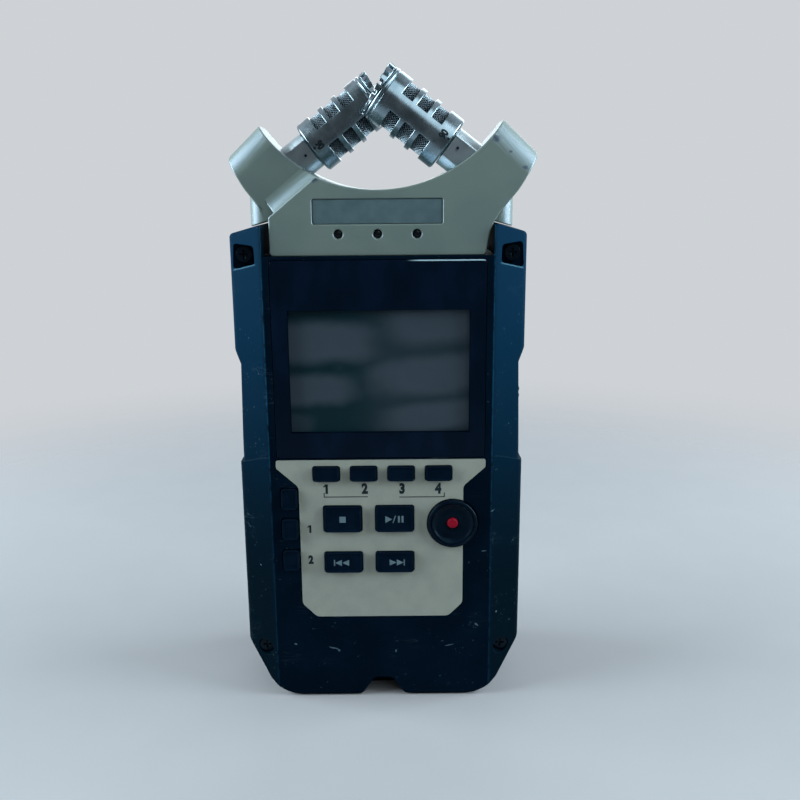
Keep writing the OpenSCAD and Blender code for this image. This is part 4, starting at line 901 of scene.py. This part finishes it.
# smoked lenses of the peak lamps, sunk in their holes
low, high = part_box("peak_lamps")
lampLook = {"y": low.y / mm + 0.2, "z": (low.z + high.z) / 2 / mm,
            "lens": [(0, 0.22), (0.5, 0.16), (0.85, 0.02), (0.98, -0.2), (0.98, -2.5), (0, -2.5)]}
lens = lathed("lampLens", lampLook["lens"], facing(lampX[0], lampLook["y"], lampLook["z"], "-Y"), 32)
lamps = joined("lampLenses", copies(lens, [(x - lampX[0], 0, 0) for x in lampX[1:]]))
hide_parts("peak_lamps")
dressed(lamps, "lamp", "case")

# plain rings round the plug holes at the left side and the back: place, way, inner and outer radius
ringLook = {"headphoneRing": ((-34.12, -6.2, 79.0), "-X", 1.82, 2.6),
            "externalRing": ((14, 18.32, 102.0), "+Y", 1.82, 2.6),
            "remoteRing": ((-35.27, -6.2, 20.0), "-X", 1.32, 1.95)}
for name, (place, way, inner, outer) in ringLook.items():
    lip = [(inner, -2.0), (inner, 0.05), (inner + 0.12, 0.16),
           (outer - 0.15, 0.16), (outer, 0.0), (outer, -0.1)]
    dressed(lathed(name, lip, facing(*place, way), lining=True), "steel", "case")

# mini socket: dark liner, tongue and gold strips
usbLook = {"low": (-34.9, -7.6, 34.7), "high": (-27.35, -4.8, 41.3), "wall": 0.25, "deep": 6.0,
           "tongue": ((-34.2, -6.5, 36.2), (-28.85, -5.8, 39.8)),
           "strip": ((-34.0, -6.56, 36.5), (-29.0, -6.48, 36.8)), "strips": 5, "pitch": 0.72}
liner = block("usbLiner", usbLook["low"], usbLook["high"], 0)
chosen(liner, "FACE", lambda face: face.normal.x < -0.9)
bpy.ops.mesh.inset(thickness=usbLook["wall"] * mm)
bpy.ops.mesh.extrude_region_move(TRANSFORM_OT_translate={"value": (usbLook["deep"] * mm, 0, 0)})
bpy.ops.object.mode_set(mode="OBJECT")
inner = joined("usbInner", [liner, block("tongue", *usbLook["tongue"], 0.1)])
dressed(inner, "socket", "case")
strip = block("strip", *usbLook["strip"], 0.02, 1)
strips = copies(strip, [(0, 0, usbLook["pitch"] * i) for i in range(1, usbLook["strips"])])
dressed(joined("usbStrips", strips), "gold", "case")

# combined sockets: lined plug hole and three gold sleeves
jackLook = {"x": {"Right": 14.8, "Left": -14.8}, "y": 2.5, "z": 1.2, "circle": 5.4, "angles": (90, 210, 330),
            "sleeve": [(1.26, -0.9), (1.2, -0.72), (0.95, -0.72), (0.84, -0.9), (0.84, -8.0)],
            "bush": [(3.23, -0.9), (3.23, -0.6), (3.1, -0.5), (2.98, -0.6), (2.95, -0.9), (2.95, -4.0),
                     (3.2, -4.2)]}
turns = [math.radians(a) for a in jackLook["angles"]]
contacts = [Vector((math.cos(t), math.sin(t), 0)) * jackLook["circle"] for t in turns]
for side, x in jackLook["x"].items():
    at = facing(x, jackLook["y"], jackLook["z"], "-Z")
    sleeve = lathed("sleeve", jackLook["sleeve"], Matrix.Translation(contacts[0] * mm) @ at, 24, True)
    sleeves = copies(sleeve, [contact - contacts[0] for contact in contacts[1:]])
    dressed(joined("jackSleeves" + side, sleeves), "gold", "case")
    dressed(lathed("jackBush" + side, jackLook["bush"], at), "steel", "case")

# tripod thread, with a dark disc at the floor of its hole as painted shade
threadLook = {"place": (0, 11.1, 102.0), "pitch": 1.27, "turns": 5, "smooth": 20,
              "profile": [(2.69, 0), (2.36, 0.5), (2.36, 0.72), (2.69, 1.22)],
              "floor": [(0, 0.05), (2.2, 0.05), (2.62, 0.3)]}
threadAt = facing(*threadLook["place"], "+Y")
thread = coiled(threadLook["profile"], threadLook["pitch"], threadLook["turns"])
settled(thread, "tripodThread", threadAt)
smoothed(thread, threadLook["smooth"])
dressed(thread, "capsule", "case")
holeShade = lathed("tripodHoleShade", threadLook["floor"], threadAt, 32, True)
dressed(holeShade, "socket", "case")

# battery springs on the contact plates, drawn in towards the cell
springLook = {"radius": 3.4, "wire": 0.22, "pitch": 0.52, "turns": 2, "taper": 0.28, "points": 8,
              "smooth": 60, "places": [((7.6, 9.0, 35.75), "+Z"), ((-7.6, 9.0, 88.65), "-Z")]}
angles = [i * math.tau / springLook["points"] for i in range(springLook["points"])]
wire = [(springLook["radius"] + springLook["wire"] * math.cos(a), springLook["wire"] * math.sin(a))
        for a in angles]
tall = springLook["pitch"] * springLook["turns"] * mm
for i, (place, way) in enumerate(springLook["places"]):
    spring = coiled(wire, springLook["pitch"], springLook["turns"], True)
    for v in spring.data.vertices:
        inward = 1 - springLook["taper"] * v.co.z / tall
        v.co.x *= inward
        v.co.y *= inward
    settled(spring, "batterySpring%d" % (i + 1), facing(*place, way))
    smoothed(spring, springLook["smooth"])
    dressed(spring, "steel", "case")

# plain marks on the rockers and the battery cover
rockerLook = {"faces": {"level": (35.745, "+X"), "volume": (-35.745, "-X")}, "y": -6.2, "plusZ": 107.9,
              "minusZ": 99.3, "long": 1.5, "wide": 0.32, "thick": 0.04}
# on a side face a sign's own x runs along the part's z
standing = ("bar", 0, 0, rockerLook["long"], rockerLook["wide"], 0)
lying = ("bar", 0, 0, rockerLook["wide"], rockerLook["long"], 0)
for control, (x, way) in rockerLook["faces"].items():
    plusAt, minusAt = (facing(x, rockerLook["y"], rockerLook[z], way) for z in ("plusZ", "minusZ"))
    marks = [sign("plus", [standing, lying], plusAt, rockerLook["thick"]),
             sign("minus", [lying], minusAt, rockerLook["thick"])]
    dressed(joined(control + "Signs", marks), "printPale", bodyOf[control + "_rocker"])
arrowLook = {"place": (0, 18.495, 71.5), "high": 3.0, "wide": 4.4, "thick": 0.03}
arrow = sign("coverArrow", [("tri", 0, 0, arrowLook["high"], arrowLook["wide"], 0)],
             facing(*arrowLook["place"], "+Y"), arrowLook["thick"])
dressed(arrow, "printPale", "battery_cover")
print("small parts done")

# pale paper that fades out, with the tone of the backdrop behind it
stageLook = {"colour": (130, 132, 135), "grain": (127, 129, 133), "far": (206, 210, 214), "radius": 1.2,
             "fade": (400, 150)}
freed()
bpy.ops.mesh.primitive_circle_add(vertices=96, radius=stageLook["radius"], fill_type="NGON")
floor = bpy.context.object
floor.name = "floor"
paper = Finish("paper", Specular_IOR_Level=0.1)
spread = paper.place()
paperGrain = paper.noise(spread, 0.05, 2.0)
distance = paper.node("ShaderNodeVectorMath", {"operation": "LENGTH"}, {0: spread}, "Value")
paper.give({"Base Color": paper.mix(tone(*stageLook["colour"]), tone(*stageLook["grain"]), paperGrain),
            "Roughness": 0.8 + (paperGrain - 0.5) * 0.1,
            "Alpha": paper.band(distance, *stageLook["fade"])})
floor.data.materials.append(paper.material)
floor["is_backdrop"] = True

# soft boxes in metres: place, size, power
lightLook = {"left": ((-0.5, -0.04, 0.27), 0.42, 9.0), "right": ((0.5, -0.04, 0.27), 0.42, 8.4),
             "front": ((0.33, -0.58, 0.62), 0.56, 2.1), "rear": ((0.1, 0.7, 0.45), 0.6, 3.0)}
lightTint = (0.84, 0.95, 1.0)
lightAim = Vector((0, 0, 0.09))
for name, (place, size, power) in lightLook.items():
    freed()
    bpy.ops.object.light_add(type="AREA", location=place)
    light = bpy.context.object
    light.name = name + "Light"
    light.data.size = size
    light.data.energy = power
    light.data.color = lightTint
    light.rotation_euler = (lightAim - Vector(place)).to_track_quat("-Z", "Y").to_euler()

# weak light from all round, and a pale backdrop for the camera and reflections, which see it dimmer in front
worldLook = {"tint": (0.86, 0.92, 0.96, 1), "strength": 0.27, "slope": 1.2, "level": 0.6, "dimmest": 0.16}
world = bpy.data.worlds.new("studio")
bpy.context.scene.world = world
world.use_nodes = True
sky = world.node_tree
ambient = sky.nodes["Background"]
ambient.inputs["Color"].default_value = worldLook["tint"]
ambient.inputs["Strength"].default_value = worldLook["strength"]
backdrop = sky.nodes.new("ShaderNodeBackground")
direction = sky.nodes.new("ShaderNodeSeparateXYZ")
coords = sky.nodes.new("ShaderNodeTexCoord")
rays = sky.nodes.new("ShaderNodeLightPath")
sky.links.new(coords.outputs["Generated"], direction.inputs[0])
ahead = Sock(sky, direction.outputs["Y"]) * worldLook["slope"] + worldLook["level"]
backdrop.inputs["Color"].default_value = tone(*stageLook["far"])
direct = Sock(sky, rays.outputs["Is Camera Ray"]).most(Sock(sky, rays.outputs["Is Transmission Ray"]))
feed(sky, backdrop.inputs["Strength"], ahead.most(worldLook["dimmest"]).least(1.0).most(direct))
blend = sky.nodes.new("ShaderNodeMixShader")
feed(sky, blend.inputs[0], direct.most(Sock(sky, rays.outputs["Is Glossy Ray"])))
sky.links.new(ambient.outputs[0], blend.inputs[1])
sky.links.new(backdrop.outputs[0], blend.inputs[2])
sky.links.new(blend.outputs[0], sky.nodes["World Output"].inputs[0])
bpy.context.scene.view_settings.view_transform = "Standard"

cameraLook = {"place": (4.87, -223.7, 128.6), "right": (0.99996, -0.00196, -0.00818),
              "up": (0.00841, 0.2325, 0.97255), "back": (0.0, -0.9726, 0.2325),
              "lens": 39.645, "sensor": 36, "nearest": 0.005}
freed()
bpy.ops.object.camera_add()
camera = bpy.context.object
axes = Matrix((cameraLook["right"], cameraLook["up"], cameraLook["back"])).transposed().to_4x4()
camera.matrix_world = Matrix.Translation(Vector(cameraLook["place"]) * mm) @ axes
camera.data.sensor_width = cameraLook["sensor"]
camera.data.lens = cameraLook["lens"]
camera.data.clip_start = cameraLook["nearest"]
bpy.context.scene.camera = camera
print("stage, lights and camera done")

low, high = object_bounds()
